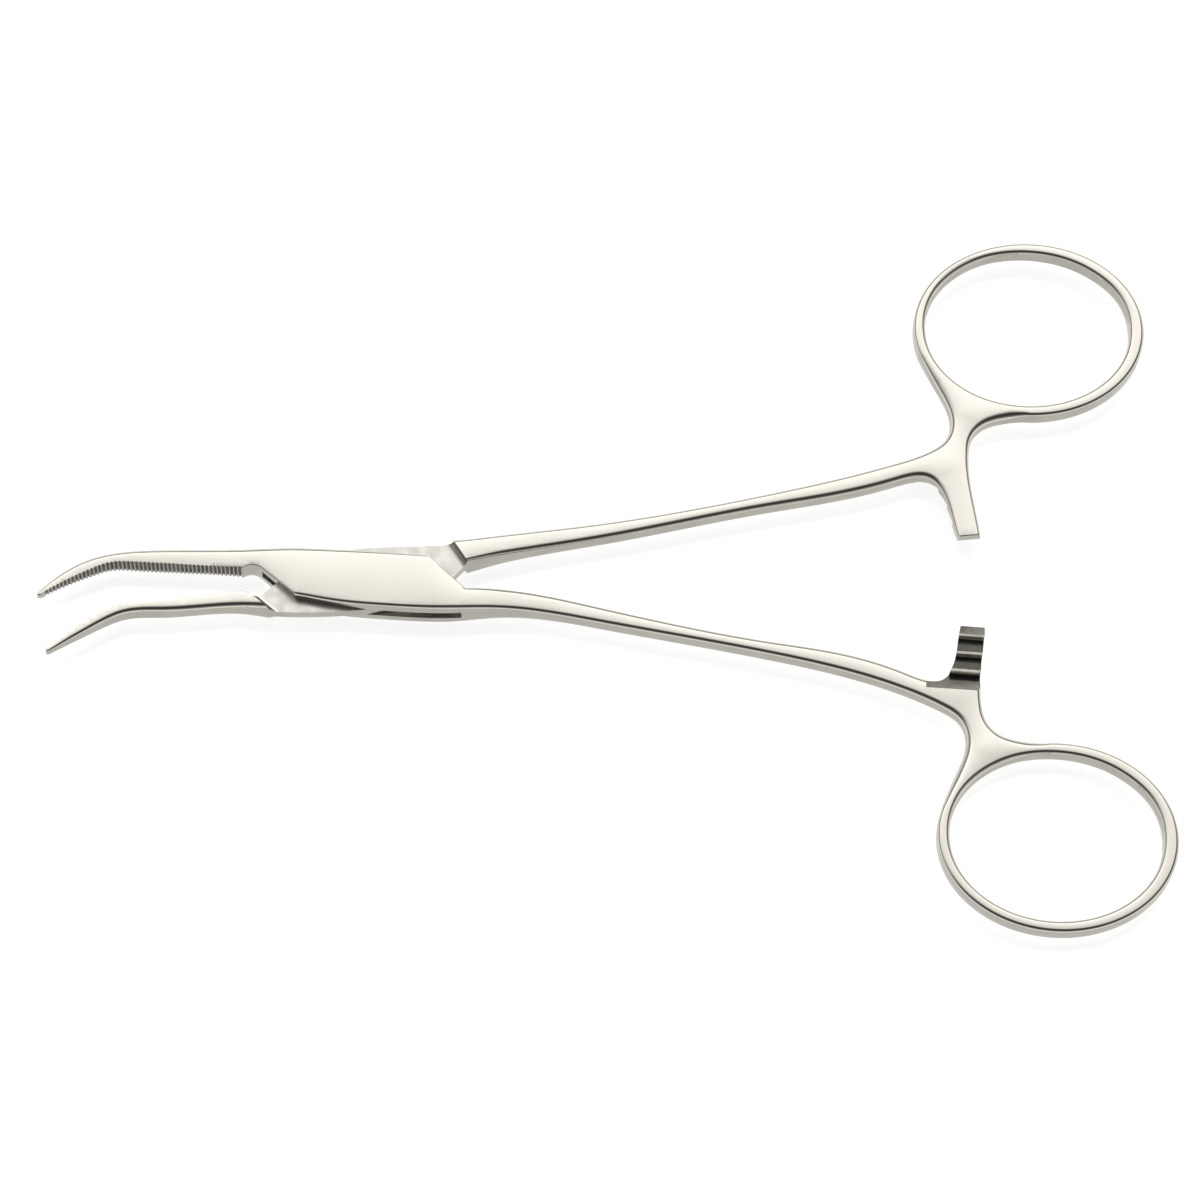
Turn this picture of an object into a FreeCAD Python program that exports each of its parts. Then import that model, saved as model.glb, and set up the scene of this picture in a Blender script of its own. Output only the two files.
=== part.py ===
import FreeCAD, Part
import math
import os

import Sketcher

# Curved box-lock haemostat, 14 cm, lying on the flat of its box with the jaws open.
# Frame: +Z along the pivot, +X towards the finger rings, +Y towards the inner half's ring.
# The origin is on the pivot axis, on the underside of the box.
# Each half is drawn in its own closed position, about its middle plane, and is then
# lifted by half the box and turned by half of the opening.
# "Near" is the side of a half that faces the other shank, "far" is the outside.

SIZES = {
    # How far the two halves stand open, and the play between them
    "opening_angle": 9.6,
    "lay_play": 0.03,
    "pin_play": 0.03,
    "bite_gap": 0.10,
    # Box of the outer half, tongue of the inner half, and the pin through both
    "box_thickness": 4.9,
    "box_flat_front": 9.0,
    "box_flat_back": 6.0,
    "box_front_slope": 3.0,
    "box_front_drop": 0.10,
    "blank_spare": 1.0,
    "pin_diameter": 3.2,
    "far_width": 4.3,
    "far_crown": 0.08,
    "near_width_outer": 3.0,
    "near_width_inner": 3.6,
    "near_flat_outer": 6.0,
    "near_flat_inner": 11.0,
    "near_corner": 4.9,
    "jaw_heel_outer": 12.2,
    "jaw_heel_inner": 13.6,
    "jaw_heel_width_outer": 2.78,
    "jaw_heel_width_inner": 3.28,
    "crotch_reach": 10.0,
    "crotch_drop": 1.0,
    "heel_width": 3.95,
    "heel_reach": 8.4,
    # Throat behind the bite, and the slanted front of the box or tongue
    "throat_reach": 15.5,
    "throat_outer": 0.13,
    "throat_inner": -1.03,
    "relief_outer": 0.35,
    "relief_inner": 0.22,
    "front_corner_outer": 10.8,
    "front_corner_inner": 9.6,
    "front_width": 3.65,
    # Slot through the outer half, and the steps where the inner half thins to its tongue
    "slot_height": 1.56,
    "slot_root_gap": 0.45,
    "slot_back": 9.75,
    "cut_spare": 3.0,
    "step_radius": 0.85,
    "step_reach": 18.0,
    "step_span": 24.0,
    "step_front_lean": 44.0,
    "step_back_lean": 28.0,
    "step_back": 9.86,
    # Bite line of the jaws: straight, then a tight bend, then a long gentle one
    "bite_root": 17.6,
    "bite_drop": 0.30,
    "bite_lean": 1.6,
    "jaw_straight": 14.9,
    "bend_radius": 6.5,
    "bend_angle": 24.5,
    "tip_radius": 48.0,
    "tip_length": 8.3,
    "tip_round": 0.22,
    # Jaw widths across the bite at its root, middle, bend, nose and tip
    "outer_jaw_root": 2.75,
    "outer_jaw_middle": 2.15,
    "outer_jaw_bend": 1.62,
    "outer_jaw_nose": 1.30,
    "inner_jaw_root": 2.25,
    "inner_jaw_middle": 1.62,
    "inner_jaw_bend": 1.38,
    "inner_jaw_nose": 1.05,
    "jaw_tip_width": 0.55,
    # Jaw thickness along the pivot at the same places
    "jaw_root_thickness": 3.2,
    "jaw_middle_thickness": 2.9,
    "jaw_bend_thickness": 2.5,
    "jaw_nose_thickness": 1.75,
    "jaw_tip_thickness": 0.95,
    # Cross serrations of the bite
    "serration_pitch": 0.51,
    "serration_depth": 0.24,
    "serration_land": 0.08,
    "serration_spare": 0.024,
    "serration_phase_outer": 0.25,
    "serration_phase_inner": 0.75,
    "serration_start": 0.35,
    "serration_end": 0.30,
    # Shanks: distance of the middle line from the axis at three stations, and widths there
    "shank_thickness": 2.6,
    "shank_taper_middle": 14.0,
    "shank_taper_thickness": 3.6,
    "shank_taper_end": 26.0,
    "shank_root": 14.5,
    "shank_middle": 39.5,
    "shank_end_before_bar": 7.05,
    "outer_root_bow": 1.85,
    "outer_middle_bow": 4.24,
    "outer_end_bow": 8.45,
    "inner_root_bow": 3.05,
    "inner_middle_bow": 5.34,
    "inner_end_bow": 8.90,
    "shank_root_width": 2.70,
    "shank_flare_width": 2.21,
    "shank_waist_width": 1.86,
    "shank_end_width": 2.55,
    # Finger ring: an oval hole in a band that is wider at the far end
    "ring_behind_bar": 12.6,
    "ring_aside": 27.55,
    "ring_turn": 3.7,
    "hole_length": 26.1,
    "hole_width": 21.6,
    "band_side": 1.52,
    "band_front": 1.50,
    "band_back": 1.84,
    # Neck between shank, ring and ratchet bar
    "neck_fore_behind_bar": 1.05,
    "neck_aft_behind_bar": 2.85,
    "neck_level": 15.0,
    "neck_round": 3.0,
    "ring_fore_angle": 163.0,
    "ring_aft_angle": 93.0,
    # Ratchet bars and the saw teeth on their meeting faces
    "bar_along": 71.55,
    "bar_width_outer": 3.0,
    "bar_width_inner": 2.8,
    "bar_root_outer": 4.0,
    "bar_root_inner": 4.8,
    "bar_tip_outer": 0.10,
    "bar_tip_inner": 0.60,
    "tooth_count": 3,
    "tooth_first": 1.6,
    "tooth_pitch": 2.4,
    "tooth_land": 0.30,
    "tooth_lean": 0.12,
    "tooth_depth": 0.75,
    "tooth_overlap": 0.25,
    "tooth_run_out": 9.3,
    "cap_drop_outer": 0.85,
    "cap_drop_inner": 0.35,
    "tooth_reach": 4.1,
    # Rounded rims
    "rim_radius": 0.5,
    "outer_jaw_rim": 0.4,
    "inner_jaw_rim": 0.2,
}

# Roundings, as shares of their size, from the corner that they round
NECK_FORE = ((-1.0, -1.1), (-0.27, -0.6), (0.0, 0.0), (-0.4, 1.9))
NECK_AFT = ((1.97, 0.08), (0.77, -0.18), (0.25, -0.65), (0.0, -1.4))
BAR_ROOT = ((-0.1, -1.3), (-0.26, -0.62), (-0.5, -0.26))

# Places of the jaw's middle, bend and nose along the bite, as shares of its stretches
MIDDLE_SHARE = 0.68
BEND_SHARE = 0.22
NOSE_SHARE = 0.62

# Distance under which two places are the same
NEAR = 1e-4

# Half of a right angle, in degrees
HALF_RIGHT = 45.0

PIVOT_AXIS = FreeCAD.Vector(0, 0, 1)

doc = FreeCAD.newDocument("haemostat")
sheet = doc.addObject("Spreadsheet::Sheet", "Sizes")
for row, (alias, value) in enumerate(SIZES.items(), start=1):
    sheet.set(f"A{row}", alias)
    sheet.set(f"B{row}", str(value))
    sheet.setAlias(f"B{row}", alias)
doc.recompute()


def size(alias):
    """The plain number that the sheet holds under an alias."""
    return float(sheet.get(alias))


def vector(x, y):
    """A point of a sketch."""
    return FreeCAD.Vector(x, y, 0.0)


def spline(points, start=None, end=None):
    """A smooth curve through the points, with end directions if both are given."""
    curve = Part.BSplineCurve()
    if start is None:
        curve.interpolate(Points=points)
    else:
        curve.interpolate(Points=points, InitialTangent=start, FinalTangent=end)
    return curve


def origin_plane(body, role):
    """The body's own origin plane with that role."""
    return next(item for item in body.Origin.OriginFeatures if item.Role == role)


def new_sketch(body, name, role, lift=None):
    """A sketch on one of the body's origin planes, lifted by an expression if there is one."""
    sketch = body.newObject("Sketcher::SketchObject", name)
    sketch.AttachmentSupport = (origin_plane(body, role), [""])
    sketch.MapMode = "FlatFace"
    if lift:
        sketch.setExpression("AttachmentOffset.Base.z", lift)
    return sketch


def add_edges(sketch, edges):
    """Drawn edges of one closed loop."""
    for edge in edges:
        sketch.addGeometry(edge, False)


def add_polygon(sketch, corners):
    """A closed polygon whose corners are pairs of expressions on the sheet."""
    first = sketch.GeometryCount
    values = [(sketch.evalExpression(x), sketch.evalExpression(y)) for x, y in corners]
    points = [vector(float(x), float(y)) for x, y in values]
    count = len(points)
    for index in range(count):
        side = Part.LineSegment(points[index], points[(index + 1) % count])
        sketch.addGeometry(side, False)
    for index in range(count):
        following = first + (index + 1) % count
        sketch.addConstraint(Sketcher.Constraint("Coincident", first + index, 2, following, 1))
    for index, (x, y) in enumerate(corners):
        for kind, text, number in (("DistanceX", x, points[index].x), ("DistanceY", y, points[index].y)):
            datum = Sketcher.Constraint(kind, -1, 1, first + index, 1, number)
            place = sketch.addConstraint(datum)
            sketch.setExpression(f"Constraints[{place}]", text)


def add_circle(sketch, radius):
    """A circle about the axis whose radius is an expression on the sheet."""
    value = float(sketch.evalExpression(radius))
    circle = sketch.addGeometry(Part.Circle(vector(0, 0), PIVOT_AXIS, value), False)
    sketch.addConstraint(Sketcher.Constraint("Coincident", circle, 3, -1, 1))
    place = sketch.addConstraint(Sketcher.Constraint("Radius", circle, value))
    sketch.setExpression(f"Constraints[{place}]", radius)


def add_oval(sketch, centre, radii, turn):
    """A full oval, turned by an angle in degrees."""
    spin = FreeCAD.Rotation(PIVOT_AXIS, turn)
    major = centre + spin.multVec(vector(radii[0], 0))
    minor = centre + spin.multVec(vector(0, radii[1]))
    sketch.addGeometry(Part.Ellipse(major, minor, centre), False)


def pad(body, name, sketch, length):
    """Material to both sides of the sketch, by an expression for the whole length."""
    feature = body.newObject("PartDesign::Pad", name)
    feature.Profile = sketch
    feature.SideType = "Symmetric"
    feature.setExpression("Length", length)
    return feature


def pocket(body, name, sketch, length):
    """A cut to both sides of the sketch, by an expression for the whole length."""
    feature = body.newObject("PartDesign::Pocket", name)
    feature.Profile = sketch
    feature.SideType = "Symmetric"
    feature.setExpression("Length", length)
    return feature


def round_edges(body, name, base, edges, radius):
    """A rounding of the edges that are listed by number, its radius an expression."""
    feature = body.newObject("PartDesign::Fillet", name)
    feature.Base = (base, [f"Edge{number}" for number in edges])
    feature.setExpression("Radius", radius)
    return feature


def bite_point(along, offset):
    """The point at a length along the bite line from its root, offset towards +Y."""
    heading = math.radians(size("bite_lean"))
    x, y = -size("bite_root"), -size("bite_drop")
    bend = size("bend_radius") * math.radians(size("bend_angle"))
    straight = min(along, size("jaw_straight"))
    x -= straight * math.cos(heading)
    y -= straight * math.sin(heading)
    left = along - straight
    for radius, span in ((size("bend_radius"), bend), (size("tip_radius"), size("tip_length"))):
        step = max(0.0, min(left, span))
        turned = heading + step / radius
        x -= radius * (math.sin(turned) - math.sin(heading))
        y += radius * (math.cos(turned) - math.cos(heading))
        heading = turned
        left -= step
    return vector(x - offset * math.sin(heading), y + offset * math.cos(heading))


def bite_stations():
    """Lengths along the bite of its root, middle, straight end, bend, nose and tip."""
    straight = size("jaw_straight")
    bend = straight + size("bend_radius") * math.radians(size("bend_angle"))
    tip = bend + size("tip_length")
    middle = straight * MIDDLE_SHARE
    after = bend + size("tip_length") * BEND_SHARE
    nose = bend + size("tip_length") * NOSE_SHARE
    return {
        "root": 0.0,
        "middle": middle,
        "straight": straight,
        "bend": bend,
        "after": after,
        "nose": nose,
        "tip": tip,
    }


def bite_edges(offset):
    """The bite line moved sideways: one straight and two arcs, from root to tip."""
    at = bite_stations()
    edges = [Part.LineSegment(bite_point(at["root"], offset), bite_point(at["straight"], offset))]
    for start, end in (("straight", "bend"), ("bend", "tip")):
        middle = bite_point((at[start] + at[end]) / 2, offset)
        edges.append(Part.Arc(bite_point(at[start], offset), middle, bite_point(at[end], offset)))
    return edges


def jaw_back(half, direction):
    """Points of the jaw's rounded back, from root to tip."""
    at = bite_stations()
    widths = [
        (at["root"], size(f"{half}_jaw_root")),
        (at["middle"], size(f"{half}_jaw_middle")),
        (at["straight"], size(f"{half}_jaw_bend")),
        (at["after"], size(f"{half}_jaw_bend")),
        (at["nose"], size(f"{half}_jaw_nose")),
        (at["tip"], size("jaw_tip_width")),
    ]
    return [bite_point(along, direction * width) for along, width in widths]


def shank_stations():
    """Places along X of the shank's root, middle and end; its end keeps clear of the bar."""
    return [size("shank_root"), size("shank_middle"), size("bar_along") - size("shank_end_before_bar")]


def shank_middle(half, x):
    """Distance of a shank's middle line from the axis: a parabola through three stations."""
    stations = shank_stations()
    bows = [size(f"{half}_root_bow"), size(f"{half}_middle_bow"), size(f"{half}_end_bow")]
    total = 0.0
    for index, (station, bow) in enumerate(zip(stations, bows)):
        share = 1.0
        for other, place in enumerate(stations):
            if other != index:
                share *= (x - place) / (station - place)
        total += bow * share
    return total


def shank_edge(half, direction):
    """Places along one edge of a shank, root first; direction 1 is the far edge."""
    root, middle, end = shank_stations()
    widths = [
        (root, size("shank_root_width")),
        ((root + middle) / 2, size("shank_flare_width")),
        (middle + (end - middle) / 3, size("shank_waist_width")),
        (end, size("shank_end_width")),
    ]
    return [(x, shank_middle(half, x) + direction * width / 2) for x, width in widths]


def ring_centre(side):
    """Centre of the finger hole, which keeps its distance behind the ratchet bar."""
    return vector(size("bar_along") + size("ring_behind_bar"), side * size("ring_aside"))


def ring_ovals(side):
    """The finger hole and the outer oval of the ring, each a centre and its half lengths."""
    turn = -side * size("ring_turn")
    spin = FreeCAD.Rotation(PIVOT_AXIS, turn)
    centre = ring_centre(side)
    hole = (size("hole_length") / 2, size("hole_width") / 2)
    shift = (size("band_back") - size("band_front")) / 2
    outer = (hole[0] + (size("band_back") + size("band_front")) / 2, hole[1] + size("band_side"))
    return (centre, hole), (centre + spin.multVec(vector(shift, 0)), outer), turn


def ring_point(side, angle):
    """Point of the ring's outer oval at an angle from its long axis, and the way along it."""
    _, (centre, radii), turn = ring_ovals(side)
    spin = FreeCAD.Rotation(PIVOT_AXIS, turn)
    local = math.radians(-side * angle)
    point = vector(radii[0] * math.cos(local), radii[1] * math.sin(local))
    way = vector(-radii[0] * math.sin(local), radii[1] * math.cos(local))
    return centre + spin.multVec(point), spin.multVec(way) * -side


def handle_edges(half, side, front, crotch):
    """Far edge, ring chord, aft edge, bar end and near edge of a half, from front to crotch."""

    def place(x, outward):
        return vector(x, side * outward)

    def rounding(x, level, radius, shares):
        return [place(x + radius * a, level + radius * b) for a, b in shares]

    fore, fore_way = ring_point(side, size("ring_fore_angle"))
    aft, aft_way = ring_point(side, size("ring_aft_angle"))
    level, neck_round = size("neck_level"), size("neck_round")
    left = size("bar_along")
    right = left + size(f"bar_width_{half}")
    far_points = [front]
    far_points.append(place(-size(f"front_corner_{half}") / 2, size("far_width") - size("far_crown")))
    far_points.append(place(0.0, size("far_width")))
    far_points.append(place(size("heel_reach"), size("heel_width")))
    far_points += [place(x, outward) for x, outward in shank_edge(half, 1)]
    far_points += rounding(left + size("neck_fore_behind_bar"), level, neck_round, NECK_FORE)
    far_curve = spline(far_points + [fore], far_points[1] - front, fore_way)

    tip = -size(f"bar_tip_{half}")
    aft_points = [aft] + rounding(left + size("neck_aft_behind_bar"), level, neck_round, NECK_AFT)
    aft_curve = spline(aft_points + [place(right, tip)], aft_way, place(0.0, -1.0))
    root = size(f"bar_root_{half}")
    shoulder = shank_middle(half, left) - size("shank_end_width") / 2
    near_points = [place(left, tip)] + rounding(left, shoulder, root, BAR_ROOT)
    near_points += [place(x, outward) for x, outward in shank_edge(half, -1)[::-1]]
    return [
        far_curve,
        Part.LineSegment(fore, aft),
        aft_curve,
        Part.LineSegment(place(right, tip), place(left, tip)),
        spline(near_points + [crotch]),
    ]


def half_outline(half, side):
    """Edges of a half's plan outline, from the bite's root round the handle and back."""
    bite = bite_edges(-side * size("bite_gap") / 2)
    bite_root = bite[0].StartPoint
    throat = vector(-size("throat_reach"), side * size(f"throat_{half}"))
    front = vector(-size(f"front_corner_{half}"), side * size("front_width"))
    relief = (bite_root + throat) * 0.5 + vector(0.0, -side * size(f"relief_{half}"))
    crotch = vector(size("crotch_reach"), side * size("crotch_drop"))
    near = -side * size(f"near_width_{half}")
    corner = vector(size("near_corner"), near)
    heel = vector(-size(f"jaw_heel_{half}"), -side * size(f"jaw_heel_width_{half}"))
    near_points = [corner, vector(-size(f"near_flat_{half}"), near), heel]
    near_points += jaw_back(half, -side)
    back_tip = near_points[-1]
    bite_tip = bite[-1].EndPoint
    across = (bite_tip - back_tip).normalize()
    ahead = vector(across.y, -across.x) * -side * size("tip_round")
    nose = Part.Arc(back_tip, (back_tip + bite_tip) * 0.5 + ahead, bite_tip)
    jaw = [Part.Arc(bite_root, relief, throat), Part.LineSegment(throat, front)]
    lock = [Part.LineSegment(crotch, corner), spline(near_points)]
    return bite + jaw + handle_edges(half, side, front, crotch) + lock + [nose]


def side_profile(top):
    """Loop that is cut away above a half, or below it, to leave its thickness along X."""
    at = bite_stations()
    way = 1 if top else -1

    def place(x, thickness):
        return vector(x, way * thickness / 2)

    box = size("box_thickness")
    tip = bite_point(at["tip"], 0.0).x - size("blank_spare")
    end = ring_centre(1).x + size("hole_length")
    front = [
        place(tip, size("jaw_tip_thickness")),
        place(bite_point(at["nose"], 0.0).x, size("jaw_nose_thickness")),
        place(bite_point(at["bend"], 0.0).x, size("jaw_bend_thickness")),
        place(bite_point(at["middle"], 0.0).x, size("jaw_middle_thickness")),
        place(-size("bite_root"), size("jaw_root_thickness")),
        place(-size("box_flat_front") - size("box_front_slope"), box - 2 * size("box_front_drop")),
        place(-size("box_flat_front"), box),
    ]
    flat = place(size("box_flat_back"), box)
    slim = place(size("shank_taper_end"), size("shank_thickness"))
    middle = place(size("shank_taper_middle"), size("shank_taper_thickness"))
    level = vector(1.0, 0.0)
    corners = [place(end, size("shank_thickness")), place(end, 2 * box), place(tip, 2 * box), front[0]]
    edges = [spline(front, front[1] - front[0], level), Part.LineSegment(front[-1], flat)]
    edges += [spline([flat, middle, slim], level, level), Part.LineSegment(slim, corners[0])]
    edges += [Part.LineSegment(a, b) for a, b in zip(corners, corners[1:])]
    return edges


def add_step(sketch):
    """Section of the cut that thins the inner half, with the scoop at the foot of its wall."""
    radius = size("step_radius")
    top = size("box_thickness")
    reach = size("step_reach")
    turn = radius * math.sin(math.radians(HALF_RIGHT))
    foot, wall = vector(0, 0), vector(radius, radius)
    corners = [wall, vector(radius, top), vector(-reach, top), vector(-reach, 0), foot]
    add_edges(sketch, [Part.Arc(foot, vector(turn, radius - turn), wall)])
    add_edges(sketch, [Part.LineSegment(a, b) for a, b in zip(corners, corners[1:])])


def outer_slot():
    """Corners of the slot through the outer half's box, which follow the tongue's slanted end."""
    rise = "(Sizes.front_width - Sizes.throat_inner)"
    run = "(Sizes.throat_reach - Sizes.front_corner_inner)"
    shift = f"Sizes.slot_root_gap * sqrt({rise} ^ 2 + {run} ^ 2) / {rise}"
    top = "(Sizes.far_width + Sizes.cut_spare)"
    climb = f"({top} - Sizes.front_width) * {run} / {rise}"
    return [
        (f"-Sizes.throat_reach - {shift}", "Sizes.throat_inner"),
        (f"-Sizes.front_corner_inner - {shift} + {climb}", top),
        ("Sizes.slot_back", top),
        ("Sizes.slot_back", f"-{top}"),
        (f"-Sizes.throat_reach - {shift}", f"-{top}"),
    ]


def serration_notches(half, side):
    """Corners of the notches across a jaw's bite, one triangle each, from root to tip."""
    pitch, depth = size("serration_pitch"), size("serration_depth")
    face = -side * size("bite_gap") / 2
    mouth = (pitch - size("serration_land")) / 2
    spare = size("serration_spare")
    reach = bite_stations()["tip"] - size("serration_end") - size("serration_start")
    count = int(reach / pitch)
    first = size("serration_start") + pitch * size(f"serration_phase_{half}")
    notches = []
    for index in range(count):
        middle = first + index * pitch
        opening = mouth * (depth + spare) / depth
        bottom = bite_point(middle, face - side * depth)
        left = bite_point(middle - opening, face + side * spare)
        right = bite_point(middle + opening, face + side * spare)
        notches.append((bottom, left, right))
    return notches


def tooth_profile(half, side, way):
    """Corners of the cut that leaves the saw teeth, across the bar and along the pivot."""
    crest = way * size("tooth_overlap")
    valley = crest - way * size("tooth_depth")
    surface = way * size("shank_thickness") / 2
    above = way * size("shank_thickness")
    pitch = size("tooth_pitch")
    tip = -size(f"bar_tip_{half}")
    outside = tip - pitch
    corners = [(outside, above), (outside, crest - way * size(f"cap_drop_{half}"))]
    corners.append((tip, crest - way * size(f"cap_drop_{half}")))
    for index in range(int(size("tooth_count"))):
        edge = size("tooth_first") + index * pitch
        corners.append((edge - size("tooth_land"), crest))
        corners.append((edge, crest))
        corners.append((edge + size("tooth_lean"), valley))
    run_out = size("tooth_run_out")
    rise = (above - surface) / (surface - valley) * (run_out - corners[-1][0])
    corners.append((run_out + rise, above))
    return [vector(side * outward, height) for outward, height in corners]


def loop(points):
    """Straight edges round a list of points."""
    return [Part.LineSegment(a, b) for a, b in zip(points, points[1:] + points[:1])]


def edges_from(shape, corner, shortest):
    """Numbers of the edges over a length that end above or below a corner of the plan."""
    found = []
    for number, edge in enumerate(shape.Edges, start=1):
        ends = [vertex.Point for vertex in edge.Vertexes]
        near = [math.hypot(end.x - corner.x, end.y - corner.y) < NEAR for end in ends]
        if edge.Length > shortest and any(near) and not all(near):
            found.append(number)
    return found


def closed_edges(shape):
    """Numbers of the edges that close on themselves."""
    return [number for number, edge in enumerate(shape.Edges, start=1) if edge.isClosed()]


def forge_half(body, half, side):
    """Forging of a half: plan, side profile, ring and rounded rims. Returns its last feature."""
    plan = new_sketch(body, f"{half}_plan", "XY_Plane")
    add_edges(plan, half_outline(half, side))
    pad(body, f"{half}_blank", plan, "Sizes.box_thickness + 2 * Sizes.blank_spare")

    profile = new_sketch(body, f"{half}_side_profile", "XZ_Plane")
    add_edges(profile, side_profile(True) + side_profile(False))
    pocket(body, f"{half}_thinning", profile, "2 * (Sizes.ring_aside + Sizes.hole_length)")

    (hole_centre, hole), (band_centre, band), turn = ring_ovals(side)
    disc = new_sketch(body, f"{half}_ring", "XY_Plane")
    add_oval(disc, band_centre, band, turn)
    pad(body, f"{half}_ring_disc", disc, "Sizes.shank_thickness")
    finger = new_sketch(body, f"{half}_finger_hole", "XY_Plane")
    add_oval(finger, hole_centre, hole, turn)
    opened = pocket(body, f"{half}_finger_opening", finger, "2 * Sizes.shank_thickness")
    doc.recompute()

    tip = -side * size(f"bar_tip_{half}")
    left = size("bar_along")
    right = left + size(f"bar_width_{half}")
    rims = closed_edges(opened.Shape)
    for x in (left, right):
        rims += edges_from(opened.Shape, vector(x, tip), right - left + NEAR)
    rounded = round_edges(body, f"{half}_rims", opened, rims, "Sizes.rim_radius")
    doc.recompute()

    back_tip = jaw_back(half, -side)[-1]
    backs = edges_from(rounded.Shape, back_tip, size("tip_length"))
    return round_edges(body, f"{half}_jaw_rims", rounded, backs, f"Sizes.{half}_jaw_rim")


def cut_pin_hole(body, half, radius):
    """Hole for the pivot pin."""
    sketch = new_sketch(body, f"{half}_pin_circle", "XY_Plane")
    add_circle(sketch, radius)
    pocket(body, f"{half}_pin_hole", sketch, "2 * Sizes.box_thickness")


def cut_serrations(body, half, side):
    """Cross serrations of the bite."""
    sketch = new_sketch(body, f"{half}_notches", "XY_Plane")
    for notch in serration_notches(half, side):
        add_edges(sketch, loop(list(notch)))
    pocket(body, f"{half}_serrations", sketch, "2 * Sizes.box_thickness")


def cut_ratchet(body, half, side, way):
    """Saw teeth on the face of the ratchet bar; way is the side they face along the pivot."""
    width = f"Sizes.bar_width_{half}"
    middle = f"Sizes.bar_along + ({width} + Sizes.cut_spare - Sizes.tooth_reach) / 2"
    sketch = new_sketch(body, f"{half}_teeth_profile", "YZ_Plane", middle)
    add_edges(sketch, loop(tooth_profile(half, side, way)))
    pocket(body, f"{half}_teeth", sketch, f"{width} + Sizes.cut_spare + Sizes.tooth_reach")


def place_half(body, side):
    """Lift a half by half of the box and turn it by half of the opening."""
    turn = FreeCAD.Rotation(PIVOT_AXIS, side * size("opening_angle") / 2)
    body.Placement = FreeCAD.Placement(vector(0, 0), turn)
    body.setExpression("Placement.Base.z", "Sizes.box_thickness / 2")
    body.setExpression("Placement.Rotation.Angle", f"{side} * Sizes.opening_angle / 2")


def make_outer_half():
    """Half whose box holds the slot; its ring lies towards -Y and its teeth face +Z."""
    body = doc.addObject("PartDesign::Body", "outer_half")
    body.Label = "outer_half"
    forge_half(body, "outer", -1)
    slot = new_sketch(body, "outer_slot_plan", "XY_Plane")
    add_polygon(slot, outer_slot())
    pocket(body, "outer_slot", slot, "Sizes.slot_height")
    cut_pin_hole(body, "outer", "Sizes.pin_diameter / 2")
    cut_serrations(body, "outer", -1)
    cut_ratchet(body, "outer", -1, 1)
    place_half(body, -1)
    return body


def cut_step(body, name, end, way):
    """One of the four steps down to the tongue; way is 1 above it and -1 below it."""
    x, y, lean, outward = end
    angle = math.radians(size(lean))
    across = FreeCAD.Vector(math.cos(angle), math.sin(angle), 0.0) * outward
    up = FreeCAD.Vector(0, 0, way)
    sketch = new_sketch(body, f"{name}_section", "XY_Plane")
    spin = FreeCAD.Rotation(across, up, across.cross(up), "XYZ")
    sketch.AttachmentOffset = FreeCAD.Placement(vector(0, 0), spin)
    sketch.setExpression("AttachmentOffset.Base.x", x)
    sketch.setExpression("AttachmentOffset.Base.y", y)
    sketch.setExpression("AttachmentOffset.Base.z", f"{way} * (Sizes.slot_height / 2 - Sizes.lay_play)")
    add_step(sketch)
    pocket(body, name, sketch, "Sizes.step_span")


def make_inner_half():
    """Half whose tongue lies in the slot; its ring lies towards +Y and its teeth face -Z."""
    body = doc.addObject("PartDesign::Body", "inner_half")
    body.Label = "inner_half"
    forge_half(body, "inner", 1)
    front = ("-Sizes.throat_reach", "Sizes.throat_inner", "step_front_lean", -1)
    back = ("Sizes.step_back", "0", "step_back_lean", 1)
    for end_name, end in (("front", front), ("back", back)):
        cut_step(body, f"inner_{end_name}_upper_step", end, 1)
        cut_step(body, f"inner_{end_name}_lower_step", end, -1)
    cut_pin_hole(body, "inner", "Sizes.pin_diameter / 2 + Sizes.pin_play")
    cut_serrations(body, "inner", 1)
    cut_ratchet(body, "inner", 1, -1)
    place_half(body, 1)
    return body


def make_pivot_pin():
    """Riveted pin, flush with both faces of the box."""
    pin = doc.addObject("Part::Cylinder", "pivot_pin")
    pin.Label = "pivot_pin"
    pin.setExpression("Radius", "Sizes.pin_diameter / 2")
    pin.setExpression("Height", "Sizes.box_thickness")
    return pin


def check_and_export(pieces):
    """Stop on a failed object or shape, then write each piece to a file of its own."""
    doc.recompute()
    for item in doc.Objects:
        if {"Invalid", "Error"} & set(item.State):
            raise RuntimeError(f"{item.Name} failed: {item.State}")
    for piece in pieces:
        if piece.Shape.isNull() or not piece.Shape.isValid() or len(piece.Shape.Solids) != 1:
            raise RuntimeError(f"{piece.Label} is not one valid solid")
    os.makedirs("parts", exist_ok=True)
    for piece in pieces:
        piece.Shape.exportStep(f"parts/{piece.Label}.step")
        box = piece.Shape.BoundBox
        print(f"{piece.Label}: {piece.Shape.Volume:.1f} mm3, {box.XLength:.1f} x {box.YLength:.1f}")


check_and_export([make_outer_half(), make_inner_half(), make_pivot_pin()])
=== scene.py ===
"""Looks of a curved box-lock haemostat in polished steel, lying open on a white table."""

import logging
import math
from dataclasses import dataclass
from enum import Enum
from typing import Any, Iterable, Sequence

import bmesh
import bpy
import numpy as np
from mathutils import Matrix, Vector, geometry, kdtree


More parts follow.
